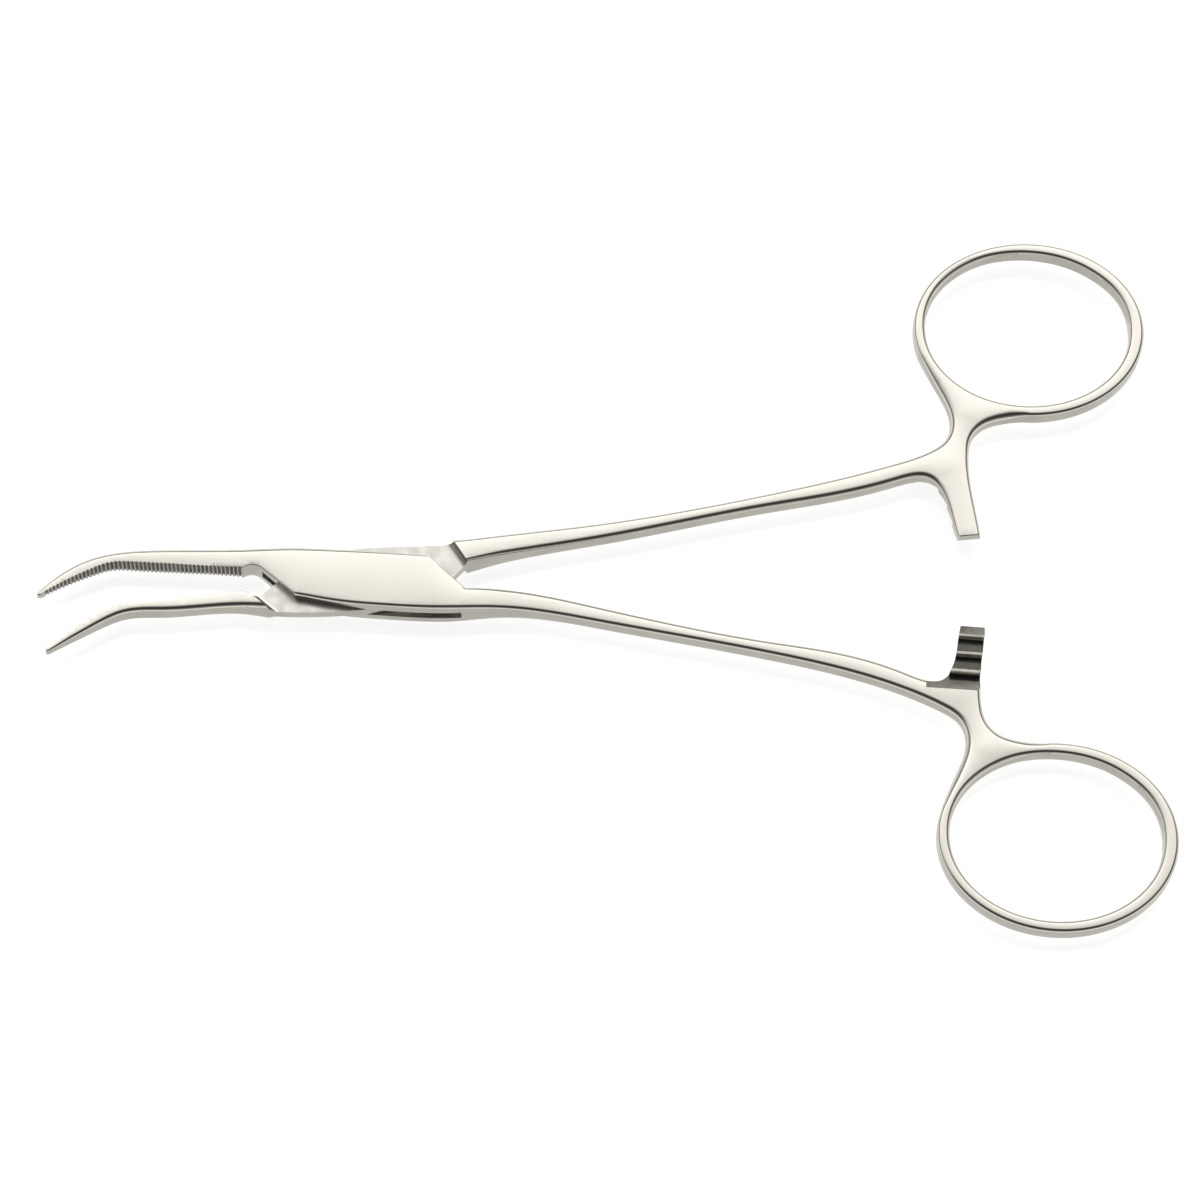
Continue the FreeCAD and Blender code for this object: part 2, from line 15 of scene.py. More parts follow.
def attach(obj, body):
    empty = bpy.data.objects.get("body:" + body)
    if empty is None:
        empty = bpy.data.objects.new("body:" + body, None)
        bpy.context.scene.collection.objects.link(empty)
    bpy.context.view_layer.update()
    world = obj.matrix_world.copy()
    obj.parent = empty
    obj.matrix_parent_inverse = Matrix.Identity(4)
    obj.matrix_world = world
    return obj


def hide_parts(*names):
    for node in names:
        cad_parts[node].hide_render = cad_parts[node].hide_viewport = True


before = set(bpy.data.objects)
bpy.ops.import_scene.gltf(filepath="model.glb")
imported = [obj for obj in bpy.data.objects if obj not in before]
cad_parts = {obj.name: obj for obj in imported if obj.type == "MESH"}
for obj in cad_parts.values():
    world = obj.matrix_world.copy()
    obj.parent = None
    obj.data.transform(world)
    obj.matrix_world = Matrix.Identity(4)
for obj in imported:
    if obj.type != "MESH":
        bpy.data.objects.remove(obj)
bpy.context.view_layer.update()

MM = 0.001
SMOOTH_ANGLE = math.radians(28.0)
log = logging.getLogger("haemostat")

Points = np.ndarray


class Finish(Enum):
    """Named finishes of the instrument."""

    POLISHED = "polished_steel"
    SATIN = "satin_steel"
    GROUND = "ground_steel"
    # Darker steel for the steep flanks: painted shade of the shadowed table that they reflect.
    FLANK = "brushed_steel"
    # Near-black steel for the serration grooves: painted shade in the grooves.
    GROOVE = "grooved_steel"


def line(start: Sequence[float], end: Sequence[float], step: float) -> Points:
    """Points along a straight edge.

    Args:
        start: First point.
        end: Last point.
        step: Largest distance between two points.

    Returns:
        The points, both ends included.
    """
    start, end = np.asarray(start, float), np.asarray(end, float)
    count = max(2, int(math.ceil(np.linalg.norm(end - start) / step)) + 1)
    return start + np.linspace(0.0, 1.0, count)[:, None] * (end - start)


def arc(start: Sequence[float], middle: Sequence[float], end: Sequence[float], step: float) -> Points:
    """Points along the circle through three points.

    Args:
        start: First point.
        middle: A point between the ends.
        end: Last point.
        step: Largest distance between two points.

    Returns:
        The points, both ends included.
    """
    a, b, c = (np.asarray(point, float) for point in (start, middle, end))
    sides = np.array([b - a, c - a])
    centre = a + np.linalg.solve(2.0 * sides, (sides ** 2).sum(1))
    angles = [math.atan2(*(point - centre)[::-1]) for point in (a, b, c)]
    turn = math.remainder(angles[1] - angles[0], math.tau) + math.remainder(angles[2] - angles[1], math.tau)
    radius = float(np.linalg.norm(a - centre))
    count = max(3, int(math.ceil(abs(turn) * radius / step)) + 1)
    swept = angles[0] + np.linspace(0.0, turn, count)
    return centre + radius * np.column_stack((np.cos(swept), np.sin(swept)))


def end_slope(points: Points, places: np.ndarray) -> np.ndarray:
    """Slope at the first of four points of the cubic through them.

    Args:
        points: The points.
        places: Length along the curve at each.

    Returns:
        The slope per unit of length.
    """
    total = np.zeros(points.shape[1])
    for index in range(len(points)):
        others = [k for k in range(len(points)) if k not in (0, index)]
        if index == 0:
            weight = sum(1.0 / (places[0] - places[k]) for k in others)
        else:
            weight = 1.0 / (places[index] - places[0])
            for k in others:
                weight *= (places[0] - places[k]) / (places[index] - places[k])
        total += weight * points[index]
    return total


def spline(
    points: Iterable[Sequence[float]],
    step: float,
    start: Sequence[float] | None = None,
    end: Sequence[float] | None = None,
    carried: Sequence[float] | None = None,
) -> tuple[Points, np.ndarray]:
    """A smooth curve through points, and a value that it carries along.

    Args:
        points: Places that the curve passes through.
        step: Largest distance between two points of the result.
        start: Direction at the first point, or None.
        end: Direction at the last point, or None.
        carried: A value for each place, blended between them.

    Returns:
        The curve's points and the value at each of them.
    """
    knots = np.asarray(list(points), float)
    gaps = np.linalg.norm(np.diff(knots, axis=0), axis=1)
    places = np.concatenate(([0.0], np.cumsum(gaps)))
    reach = min(4, len(knots))
    first = end_slope(knots[:reach], places[:reach])
    last = -end_slope(knots[::-1][:reach], (places[-1] - places[::-1])[:reach])
    if start is not None:
        first = np.asarray(start, float) * np.abs(first).sum() / np.abs(np.asarray(start, float)).sum()
    if end is not None:
        last = np.asarray(end, float) * np.abs(last).sum() / np.abs(np.asarray(end, float)).sum()
    count = len(knots)
    matrix, target = np.eye(count), np.zeros_like(knots)
    target[0], target[-1] = first, last
    for k in range(1, count - 1):
        before, after = gaps[k - 1], gaps[k]
        matrix[k, k - 1:k + 2] = 1.0 / before, 2.0 / before + 2.0 / after, 1.0 / after
        rise = (knots[k] - knots[k - 1]) / before ** 2 + (knots[k + 1] - knots[k]) / after ** 2
        target[k] = 3.0 * rise
    slopes = np.linalg.solve(matrix, target)
    result, values = [knots[:1]], [np.zeros(1)]
    for k, gap in enumerate(gaps):
        share = np.linspace(0.0, 1.0, max(2, int(math.ceil(gap / step)) + 1))[1:, None]
        square, cube = share ** 2, share ** 3
        piece = (2 * cube - 3 * square + 1) * knots[k] + (3 * square - 2 * cube) * knots[k + 1]
        piece += (cube - 2 * square + share) * gap * slopes[k] + (cube - square) * gap * slopes[k + 1]
        result.append(piece)
        values.append(k + share[:, 0])
    carried = np.zeros(count) if carried is None else np.asarray(carried, float)
    return np.concatenate(result), np.interp(np.concatenate(values), np.arange(count), carried)


@dataclass(frozen=True)
class Rim:
    """A stretch of the plan outline with the rounding of its edge.

    Attributes:
        points: Points of the outline in the half's closed position.
        radius: How far in the rounding reaches, at each point.
        depth: How far the rounding goes down the edge, as a share of its reach.
        rows: Rows of faces across the rounding.
        way: 1 for an edge on the far side of its limb, -1 for one on the near side, 0 for an end.
    """

    points: Points
    radius: np.ndarray
    depth: float | np.ndarray = 1.0
    rows: int = 7
    way: int = 0

    def inward(self) -> Points:
        """Unit vectors that point into the material.

        Returns:
            A unit vector for each point of the rim.
        """
        along = np.gradient(self.points, axis=0)
        along /= np.linalg.norm(along, axis=1)[:, None]
        return np.column_stack((-along[:, 1], along[:, 0]))


@dataclass(frozen=True)
class Forging:
    """One forged half, in millimetres, drawn with the jaws closed about the pivot.

    Side is -1 for the outer half, whose ring lies towards -Y, and 1 for the inner half.
    """

    name: str
    body: str
    side: int
    throat: float
    relief: float
    front_corner: float
    near_width: float
    near_flat: float
    jaw_heel: float
    jaw_heel_width: float
    jaw_widths: tuple[float, float, float, float]
    bows: tuple[float, float, float]
    bar_width: float
    bar_root: float
    bar_tip: float
    opening: float = 9.6
    bite_gap: float = 0.10
    box_thickness: float = 4.9
    box_flat: tuple[float, float] = (-9.0, 6.0)
    box_slope: float = 3.0
    box_drop: float = 0.10
    far_width: float = 4.3
    far_crown: float = 0.08
    near_corner: float = 4.9
    crotch: tuple[float, float] = (10.0, 1.0)
    heel: tuple[float, float] = (8.4, 3.95)
    throat_reach: float = 15.5
    front_width: float = 3.65
    bite_root: tuple[float, float] = (-17.6, -0.30)
    bite_lean: float = 1.6
    jaw_straight: float = 14.9
    bend_radius: float = 6.5
    bend_angle: float = 24.5
    tip_radius: float = 48.0
    tip_length: float = 8.3
    tip_width: float = 0.55
    tip_round: float = 0.22
    jaw_thickness: tuple[float, float, float, float, float] = (3.2, 2.9, 2.5, 1.75, 0.95)
    shank_thickness: float = 2.6
    taper_middle: tuple[float, float] = (14.0, 3.6)
    taper_end: float = 26.0
    shank_stations: tuple[float, float, float] = (14.5, 39.5, 64.5)
    shank_widths: tuple[float, float, float, float] = (2.70, 2.21, 1.86, 2.55)
    ring_centre: tuple[float, float] = (84.15, 27.55)
    ring_turn: float = 3.7
    hole: tuple[float, float] = (26.1, 21.6)
    band: tuple[float, float, float] = (1.50, 1.52, 1.84)
    ring_angles: tuple[float, float] = (163.0, 93.0)
    neck_corners: tuple[float, float] = (72.6, 74.4)
    neck_level: float = 15.0
    neck_round: float = 3.0
    bar_along: float = 71.55
    fine: float = 0.10
    step: float = 0.20

    MIDDLE_SHARE = 0.68
    BEND_SHARE = 0.22
    NOSE_SHARE = 0.62
    NECK_FORE = ((-1.0, -1.1), (-0.27, -0.6), (0.0, 0.0), (-0.4, 1.9))
    NECK_AFT = ((1.97, 0.08), (0.77, -0.18), (0.25, -0.65), (0.0, -1.4))
    BAR_ROOT = ((-0.1, -1.3), (-0.26, -0.62), (-0.5, -0.26))
    HOLE_EDGE = 0.9995

    # Roundings of the rims, as millimetres in from the edge; rows of them follow the outline's places.
    NOSE_ROUND, NOSE_DEPTH = 0.22, 1.4
    BITE_ROUND = 0.05
    RELIEF_ROUND = 0.12
    FRONT_ROUND = 0.16
    FAR_ROUND = (0.40, 0.45, 0.45, 0.50, 0.50, 0.55, 0.55, 0.60, 0.70, 0.80, 0.90, 1.00, 0.50)
    RING_ROUND = 0.48
    AFT_ROUND = (0.50, 1.00, 0.90, 0.70, 0.55, 0.35)
    BAR_END_ROUND = 0.20
    NEAR_ROUND = (0.35, 0.50, 0.75, 0.78, 0.74, 0.70, 0.68, 0.60, 0.32)
    CROTCH_ROUND = 0.14
    BACK_ROUND = (0.36, 0.68, 0.72, 0.72, 0.70, 0.62, 0.55, 0.45, 0.25)
    HOLE_ROUND, HOLE_SWELL, HOLE_DEEPER = 0.50, 0.30, 0.90
    HOLE_BENDS = ((130.0, 55.0, 1.0), (22.0, 30.0, 0.6))

    def place(self, x: float, outward: float) -> tuple[float, float]:
        """A point given by its distance outwards from the axis."""
        return x, self.side * outward

    def bite_path(self, along: float) -> tuple[float, float, float]:
        """Place and heading of the bite line at a length from its root.

        Args:
            along: Length along the bite from its root.

        Returns:
            X, Y and the heading in radians.
        """
        heading = math.radians(self.bite_lean)
        bend = self.bend_radius * math.radians(self.bend_angle)
        straight = min(along, self.jaw_straight)
        x = self.bite_root[0] - straight * math.cos(heading)
        y = self.bite_root[1] - straight * math.sin(heading)
        left = along - straight
        for radius, span in ((self.bend_radius, bend), (self.tip_radius, self.tip_length)):
            part = max(0.0, min(left, span))
            turned = heading + part / radius
            x -= radius * (math.sin(turned) - math.sin(heading))
            y += radius * (math.cos(turned) - math.cos(heading))
            heading = turned
            left -= part
        return x, y, heading

    def bite_point(self, along: float, offset: float) -> tuple[float, float]:
        """A point beside the bite line.

        Args:
            along: Length along the bite from its root.
            offset: Distance from the line towards +Y.

        Returns:
            The point.
        """
        x, y, heading = self.bite_path(along)
        return x - offset * math.sin(heading), y + offset * math.cos(heading)

    def bite_heading(self, along: float) -> float:
        """Heading of the bite line at a length from its root."""
        return self.bite_path(along)[2]

    def stations(self) -> list[float]:
        """Lengths along the bite of its root, middle, straight end, bend, after, nose and tip.

        Returns:
            The seven lengths, in that order.
        """
        straight = self.jaw_straight
        bend = straight + self.bend_radius * math.radians(self.bend_angle)
        after, nose = (bend + self.tip_length * share for share in (self.BEND_SHARE, self.NOSE_SHARE))
        return [0.0, straight * self.MIDDLE_SHARE, straight, bend, after, nose, bend + self.tip_length]

    def bite_curve(self, offset: float, step: float) -> Points:
        """The bite line moved sideways, from root to tip.

        Args:
            offset: Distance from the line towards +Y.
            step: Distance between two points.

        Returns:
            The points.
        """
        tip = self.stations()[-1]
        count = int(tip / step) + 1
        return np.array([self.bite_point(along, offset) for along in np.linspace(0.0, tip, count)])

    def shank_middle(self, x: float) -> float:
        """Distance of the shank's middle line from the axis.

        Args:
            x: Place along the axis.

        Returns:
            The distance, outwards.
        """
        total = 0.0
        for station, bow in zip(self.shank_stations, self.bows):
            share = 1.0
            for other in self.shank_stations:
                if other != station:
                    share *= (x - other) / (station - other)
            total += bow * share
        return total

    def shank_edge(self, way: int) -> list[tuple[float, float]]:
        """Places along one edge of the shank from its root.

        Args:
            way: 1 for the far edge, -1 for the near one.

        Returns:
            The places.
        """
        root, middle, end = self.shank_stations
        places = (root, (root + middle) / 2, middle + (end - middle) / 3, end)
        edge = zip(places, self.shank_widths)
        return [self.place(x, self.shank_middle(x) + way * width / 2) for x, width in edge]

    def oval(self, outer: bool, angles: np.ndarray) -> tuple[Points, Points]:
        """Points of the finger hole or of the ring's outer oval, and the way along it.

        Args:
            outer: Whether the outer oval is meant.
            angles: Angles from the long axis, in degrees.

        Returns:
            The points, and the directions of travel for growing angles.
        """
        front, aside, back = self.band
        shift = (back - front) / 2 if outer else 0.0
        radii = np.array(self.hole) / 2
        if outer:
            radii = radii + ((back + front) / 2, aside)
        turn = math.radians(-self.side * self.ring_turn)
        spin = np.array(((math.cos(turn), math.sin(turn)), (-math.sin(turn), math.cos(turn))))
        local = np.radians(-self.side * np.asarray(angles, float))
        points = np.column_stack((shift + radii[0] * np.cos(local), radii[1] * np.sin(local)))
        ways = np.column_stack((-radii[0] * np.sin(local), radii[1] * np.cos(local))) * -self.side
        return points @ spin + self.place(*self.ring_centre), ways @ spin

    def in_hole(self, points: Points) -> np.ndarray:
        """Whether points of the plan lie in the finger hole.

        Args:
            points: Places in the plan.

        Returns:
            True for each place inside the hole.
        """
        turn = math.radians(-self.side * self.ring_turn)
        spin = np.array(((math.cos(turn), math.sin(turn)), (-math.sin(turn), math.cos(turn))))
        local = (points - self.place(*self.ring_centre)) @ spin.T / (np.array(self.hole) / 2)
        return (local ** 2).sum(1) < self.HOLE_EDGE

    def rounding(self, x: float, level: float, radius: float, shares: Iterable) -> list:
        """Points that round a corner, as shares of a radius from it."""
        return [self.place(x + radius * a, level + radius * b) for a, b in shares]

    def half_thickness(self, x: np.ndarray) -> np.ndarray:
        """Half of the thickness along the pivot at places along X.

        Args:
            x: Places along X.

        Returns:
            Half of the thickness at each.
        """
        nose, bend, middle = (self.bite_point(self.stations()[k], 0.0)[0] for k in (5, 3, 1))
        tip = self.bite_point(self.stations()[-1], 0.0)[0] - 1.0
        half = [thickness / 2 for thickness in self.jaw_thickness]
        box = self.box_thickness / 2
        start, end = self.box_flat
        front = [(tip, half[4]), (nose, half[3]), (bend, half[2]), (middle, half[1])]
        front += [(self.bite_root[0], half[0]), (start - self.box_slope, box - self.box_drop), (start, box)]
        slim = (self.taper_end, self.shank_thickness / 2)
        way = (front[1][0] - front[0][0], front[1][1] - front[0][1])
        rise, _ = spline(front, self.step, way, (1.0, 0.0))
        taper = [(end, box), (self.taper_middle[0], self.taper_middle[1] / 2), slim]
        fall, _ = spline(taper, self.step, (1.0, 0.0), (1.0, 0.0))
        curve = np.concatenate((rise, fall))
        return np.interp(x, curve[:, 0], curve[:, 1])

    def jaw_rims(self) -> list[Rim]:
        """Rims from the nose along the bite to the front of the lock.

        Returns:
            The nose, the bite, the relief and the slanted front.
        """
        face = -self.side * self.bite_gap / 2
        bite = self.bite_curve(face, self.fine)[::-1]
        back_tip = np.array(self.bite_point(self.stations()[-1], -self.side * self.tip_width))
        across = (bite[0] - back_tip) / np.linalg.norm(bite[0] - back_tip)
        ahead = np.array((across[1], -across[0])) * -self.side * self.tip_round
        nose = arc(back_tip, (back_tip + bite[0]) / 2 + ahead, bite[0], self.fine / 2)
        throat = np.array(self.place(-self.throat_reach, self.throat))
        relief = (bite[-1] + throat) / 2 + (0.0, -self.side * self.relief)
        front = np.array(self.place(-self.front_corner, self.front_width))
        return [
            Rim(*flat_radius(nose, self.NOSE_ROUND), self.NOSE_DEPTH, rows=5),
            Rim(*flat_radius(bite, self.BITE_ROUND), rows=2, way=1),
            Rim(*flat_radius(arc(bite[-1], relief, throat, self.fine), self.RELIEF_ROUND), rows=3, way=1),
            Rim(*flat_radius(line(throat, front, self.step), self.FRONT_ROUND), rows=4, way=1),
        ]

    def handle_rims(self) -> list[Rim]:
        """Rims from the front of the lock round the ring and the ratchet bar to the crotch.

        Returns:
            The far side, the ring, the neck's back, the bar's end and the near side.
        """
        fore, fore_way = self.oval(True, np.array([self.ring_angles[0]]))
        aft, aft_way = self.oval(True, np.array([self.ring_angles[1]]))
        front = self.place(-self.front_corner, self.front_width)
        bow = self.place(-self.front_corner / 2, self.far_width - self.far_crown)
        far = [front, bow, self.place(0.0, self.far_width), self.place(*self.heel)]
        far += self.shank_edge(1)
        far += self.rounding(self.neck_corners[0], self.neck_level, self.neck_round, self.NECK_FORE)
        far.append(tuple(fore[0]))
        away = np.subtract(bow, front)
        far_curve, far_radius = spline(far, self.step, away, fore_way[0], self.FAR_ROUND)

        first, last = self.ring_angles
        turns = np.arange(first, last + 360.0 + 0.5, 0.8)
        ring, _ = self.oval(True, np.append(turns[turns < last + 359.8], last + 360.0))

        left, right = self.bar_along, self.bar_along + self.bar_width
        tip = -self.bar_tip
        aft_points = [tuple(aft[0])]
        aft_points += self.rounding(self.neck_corners[1], self.neck_level, self.neck_round, self.NECK_AFT)
        aft_points.append(self.place(right, tip))
        down = self.place(0.0, -1.0)
        aft_curve, aft_radius = spline(aft_points, self.step, aft_way[0], down, self.AFT_ROUND)

        end = line(self.place(right, tip), self.place(left, tip), self.step)
        shoulder = self.shank_middle(left) - self.shank_widths[-1] / 2
        near = [self.place(left, tip)] + self.rounding(left, shoulder, self.bar_root, self.BAR_ROOT)
        near += self.shank_edge(-1)[::-1] + [self.place(*self.crotch)]
        near_curve, near_radius = spline(near, self.step, carried=self.NEAR_ROUND)
        return [
            Rim(far_curve, far_radius, way=1),
            Rim(*flat_radius(ring, self.RING_ROUND), way=1),
            Rim(aft_curve, aft_radius, way=1),
            Rim(*flat_radius(end, self.BAR_END_ROUND), rows=4),
            Rim(near_curve, near_radius, way=-1),
        ]

    def lock_rims(self) -> list[Rim]:
        """Rims from the crotch along the near side of the lock and the jaw's back to its tip.

        Returns:
            The crotch and the near side with the jaw's back.
        """
        crotch = np.array(self.place(*self.crotch))
        corner = np.array(self.place(self.near_corner, -self.near_width))
        near = [corner, self.place(-self.near_flat, -self.near_width)]
        near.append(self.place(-self.jaw_heel, -self.jaw_heel_width))
        stations = self.stations()
        widths = (*self.jaw_widths[:3], self.jaw_widths[2], self.jaw_widths[3], self.tip_width)
        places = (stations[0], stations[1], stations[2], stations[4], stations[5], stations[6])
        near += [self.bite_point(at, -self.side * width) for at, width in zip(places, widths)]
        back, radius = spline(near, self.step, carried=self.BACK_ROUND)
        return [
            Rim(*flat_radius(line(crotch, corner, self.step), self.CROTCH_ROUND), rows=3, way=-1),
            Rim(back, radius, way=-1),
        ]

    def hole_rim(self) -> Rim:
        """Rim of the finger hole, rounded deeper at its two bends.

        Returns:
            The rim.
        """
        turns = np.arange(0.0, 360.0, 0.9)[::-1]
        points, _ = self.oval(False, turns)
        swell = np.zeros(len(turns))
        for middle, span, share in self.HOLE_BENDS:
            away = np.abs((-self.side * turns - middle + 180.0) % 360.0 - 180.0)
            swell += share * np.cos(np.radians(90.0) * np.minimum(away / span, 1.0)) ** 2
        return Rim(points, self.HOLE_ROUND + self.HOLE_SWELL * swell, 1.0 + self.HOLE_DEEPER * swell, way=-1)

    def rims(self) -> list[Rim]:
        """All rims of the outline in order round it."""
        return self.jaw_rims() + self.handle_rims() + self.lock_rims()


def flat_radius(points: Points, radius: float) -> tuple[Points, np.ndarray]:
    """Points of a rim with the same radius at each."""
    return points, np.full(len(points), radius)


class Shading:
    """A shader tree, built with socket arithmetic and one call for every other node."""

    def __init__(self, data: bpy.types.Material | bpy.types.World) -> None:
        """Take the material or world whose tree is built.

        Args:
            data: The material or world.
        """
        self.data = data
        self.data.use_nodes = True
        self.nodes = self.data.node_tree.nodes
        self.links = self.data.node_tree.links

    def first(self, kind: str) -> bpy.types.Node:
        """The first node of a type."""
        return next(node for node in self.nodes if node.bl_idname == kind)

    def node(self, kind: str, settings: dict[str, Any] | None = None, **inputs: Any) -> bpy.types.Node:
        """Add a node, set its properties and its sockets, and link what is a socket.

        Args:
            kind: The node's type name.
            settings: Properties of the node.
            inputs: Sockets by name, underscores for spaces, as numbers, colours or values.

        Returns:
            The node.
        """
        made = self.nodes.new(kind)
        for name, setting in (settings or {}).items():
            setattr(made, name, setting)
        for name, given in inputs.items():
            self.feed(made.inputs[name.replace("_", " ")], given)
        return made

    def feed(self, socket: bpy.types.NodeSocket, given: Any) -> None:
        """Link a value to a socket, or set a plain number or colour on it."""
        if isinstance(given, Value):
            self.links.new(given.socket, socket)
        else:
            socket.default_value = given

    def value(self, node: bpy.types.Node, output: str) -> "Value":
        """The named output of a node, ready for arithmetic."""
        return Value(self, node.outputs[output])

    def ramp(self, fac: "Value", low: float, high: float) -> "Value":
        """A value stretched so that low becomes 0 and high becomes 1, held inside them."""
        node = self.node("ShaderNodeMapRange", {"clamp": True}, Value=fac, From_Min=low, From_Max=high)
        return self.value(node, "Result")

    def steps(self, fac: "Value", stops: Sequence[tuple[float, float]]) -> "Value":
        """A value read from a smooth curve through stops between 0 and 1.

        Args:
            fac: Place along the curve.
            stops: Pairs of place and result.

        Returns:
            The result.
        """
        node = self.node("ShaderNodeValToRGB", Fac=fac)
        band = node.color_ramp
        band.interpolation = "B_SPLINE"
        while len(band.elements) < len(stops):
            band.elements.new(0.5)
        for element, (place, level) in zip(band.elements, stops):
            element.position = place
        for element, (place, level) in zip(band.elements, stops):
            element.color = (level, level, level, 1.0)
        return self.value(node, "Color")


class Material(Shading):
    """A node material with a principled shader, whose patterns lie on Object coordinates."""

    def __init__(self, name: str) -> None:
        """Start an empty material.

        Args:
            name: Name of the material.
        """
        super().__init__(bpy.data.materials.new(name))
        self.shader = self.first("ShaderNodeBsdfPrincipled")
        self.place = self.value(self.node("ShaderNodeTexCoord"), "Object")

    def noise(self, scale: Sequence[float], detail: float, seed: float) -> "Value":
        """Noise between 0 and 1 whose grain may be drawn out along an axis.

        Args:
            scale: Grains to the metre along X, Y and Z.
            detail: Number of finer layers.
            seed: Shift of the pattern.

        Returns:
            The noise.
        """
        mapped = self.node("ShaderNodeMapping", Vector=self.place, Scale=scale, Location=(seed, seed, seed))
        grain = self.node("ShaderNodeTexNoise", Vector=self.value(mapped, "Vector"), Scale=1.0, Detail=detail)
        return self.value(grain, "Fac")

    def blend(self, fac: "Value", first: Sequence[float], second: Sequence[float]) -> "Value":
        """Two colours mixed by a value.

        Args:
            fac: Share of the second colour.
            first: First colour.
            second: Second colour.

        Returns:
            The mixed colour.
        """
        node = self.node("ShaderNodeMix", {"data_type": "RGBA"})
        self.feed(node.inputs[0], fac)
        self.feed(node.inputs[6], (*first, 1.0))
        self.feed(node.inputs[7], (*second, 1.0))
        return Value(self, node.outputs[2])


@dataclass(frozen=True)
class Value:
    """A shader socket that takes part in arithmetic.

    Attributes:
        owner: The tree that it belongs to.
        socket: The output socket that it stands for.
    """

    owner: Shading
    socket: bpy.types.NodeSocket

    def combine(self, operation: str, first: Any, second: Any) -> "Value":
        """A Math node on two operands.

        Args:
            operation: Name of the operation.
            first: First operand, a value or a number.
            second: Second operand.

        Returns:
            The result.
        """
        node = self.owner.nodes.new("ShaderNodeMath")
        node.operation = operation
        self.owner.feed(node.inputs[0], first)
        self.owner.feed(node.inputs[1], second)
        return Value(self.owner, node.outputs[0])

    def __add__(self, other: Any) -> "Value":
        """Sum."""
        return self.combine("ADD", self, other)

    def __radd__(self, other: Any) -> "Value":
        """Sum with a number on the left."""
        return self.combine("ADD", other, self)

    def __sub__(self, other: Any) -> "Value":
        """Difference."""
        return self.combine("SUBTRACT", self, other)

    def __rsub__(self, other: Any) -> "Value":
        """Difference from a number on the left."""
        return self.combine("SUBTRACT", other, self)

    def __mul__(self, other: Any) -> "Value":
        """Product."""
        return self.combine("MULTIPLY", self, other)

    def __rmul__(self, other: Any) -> "Value":
        """Product with a number on the left."""
        return self.combine("MULTIPLY", other, self)


@dataclass(frozen=True)
class SteelFinish:
    """Stainless steel with its cloudiness, fine scratches and spread of reflections.

    Attributes:
        name: Name of the material.
        bright: Colour where the surface is cleanest.
        dull: Colour where it is cloudy.
        roughness: Lowest and highest roughness.
        cloud: Cloud grains to the metre.
        scratch: Scratch grains to the metre along X, Y and Z.
        depth: Height of the scratches in metres.
        metallic: Share of clean metal, the rest being a matt blasted skin.
    """

    name: str
    bright: tuple[float, float, float]
    dull: tuple[float, float, float]
    roughness: tuple[float, float]
    cloud: float
    scratch: tuple[float, float, float]
    depth: float
    metallic: float = 1.0

    CLOUD_BAND = (0.35, 0.70)
    CLOUD_DETAIL = 3.0
    SCRATCH_DETAIL = 2.0
    SCRATCH_SHIFT = 4.0

    def make(self) -> bpy.types.Material:
        """Build the material.

        Returns:
            The material.
        """
        steel = Material(self.name)
        cloud = steel.ramp(steel.noise((self.cloud,) * 3, self.CLOUD_DETAIL, 0.0), *self.CLOUD_BAND)
        scratch = steel.noise(self.scratch, self.SCRATCH_DETAIL, self.SCRATCH_SHIFT)
        spread = cloud * 0.5 + scratch * 0.5
        low, high = self.roughness
        steel.feed(steel.shader.inputs["Base Color"], steel.blend(cloud, self.bright, self.dull))
        steel.feed(steel.shader.inputs["Roughness"], spread * (high - low) + low)
        steel.shader.inputs["Metallic"].default_value = self.metallic
        bump = steel.node("ShaderNodeBump", Height=scratch, Distance=self.depth, Strength=1.0)
        steel.feed(steel.shader.inputs["Normal"], steel.value(bump, "Normal"))
        return steel.data


FINISHES = {
    Finish.POLISHED: SteelFinish(
        name="polished_steel", bright=(0.645, 0.615, 0.555), dull=(0.625, 0.595, 0.535),
        roughness=(0.10, 0.16), cloud=160.0, scratch=(500.0, 6000.0, 6000.0), depth=1.5e-7,
    ),
    Finish.SATIN: SteelFinish(
        name="satin_steel", bright=(0.70, 0.68, 0.63), dull=(0.56, 0.54, 0.495),
        roughness=(0.24, 0.36), cloud=600.0, scratch=(1500.0, 9000.0, 9000.0), depth=2e-6, metallic=0.88,
    ),
    Finish.GROUND: SteelFinish(
        name="ground_steel", bright=(0.38, 0.36, 0.32), dull=(0.27, 0.26, 0.23),
        roughness=(0.14, 0.22), cloud=900.0, scratch=(2500.0, 2500.0, 16000.0), depth=1e-6,
    ),
    # Darker copy of the polished steel for steep faces: painted shade standing in for the dim reflection of
    # the shadowed table, with a rougher brushed grain.
    Finish.FLANK: SteelFinish(
        name="brushed_steel", bright=(0.44, 0.42, 0.375), dull=(0.40, 0.38, 0.34),
        roughness=(0.20, 0.28), cloud=300.0, scratch=(1500.0, 1500.0, 9000.0), depth=5e-7,
    ),
    # Near-black steel on the walls of the serration grooves: painted shade in the grooves, with a rougher cut
    # finish.
    Finish.GROOVE: SteelFinish(
        name="grooved_steel", bright=(0.24, 0.23, 0.205), dull=(0.17, 0.16, 0.145),
        roughness=(0.24, 0.34), cloud=900.0, scratch=(6000.0, 6000.0, 9000.0), depth=1e-6,
    ),
}


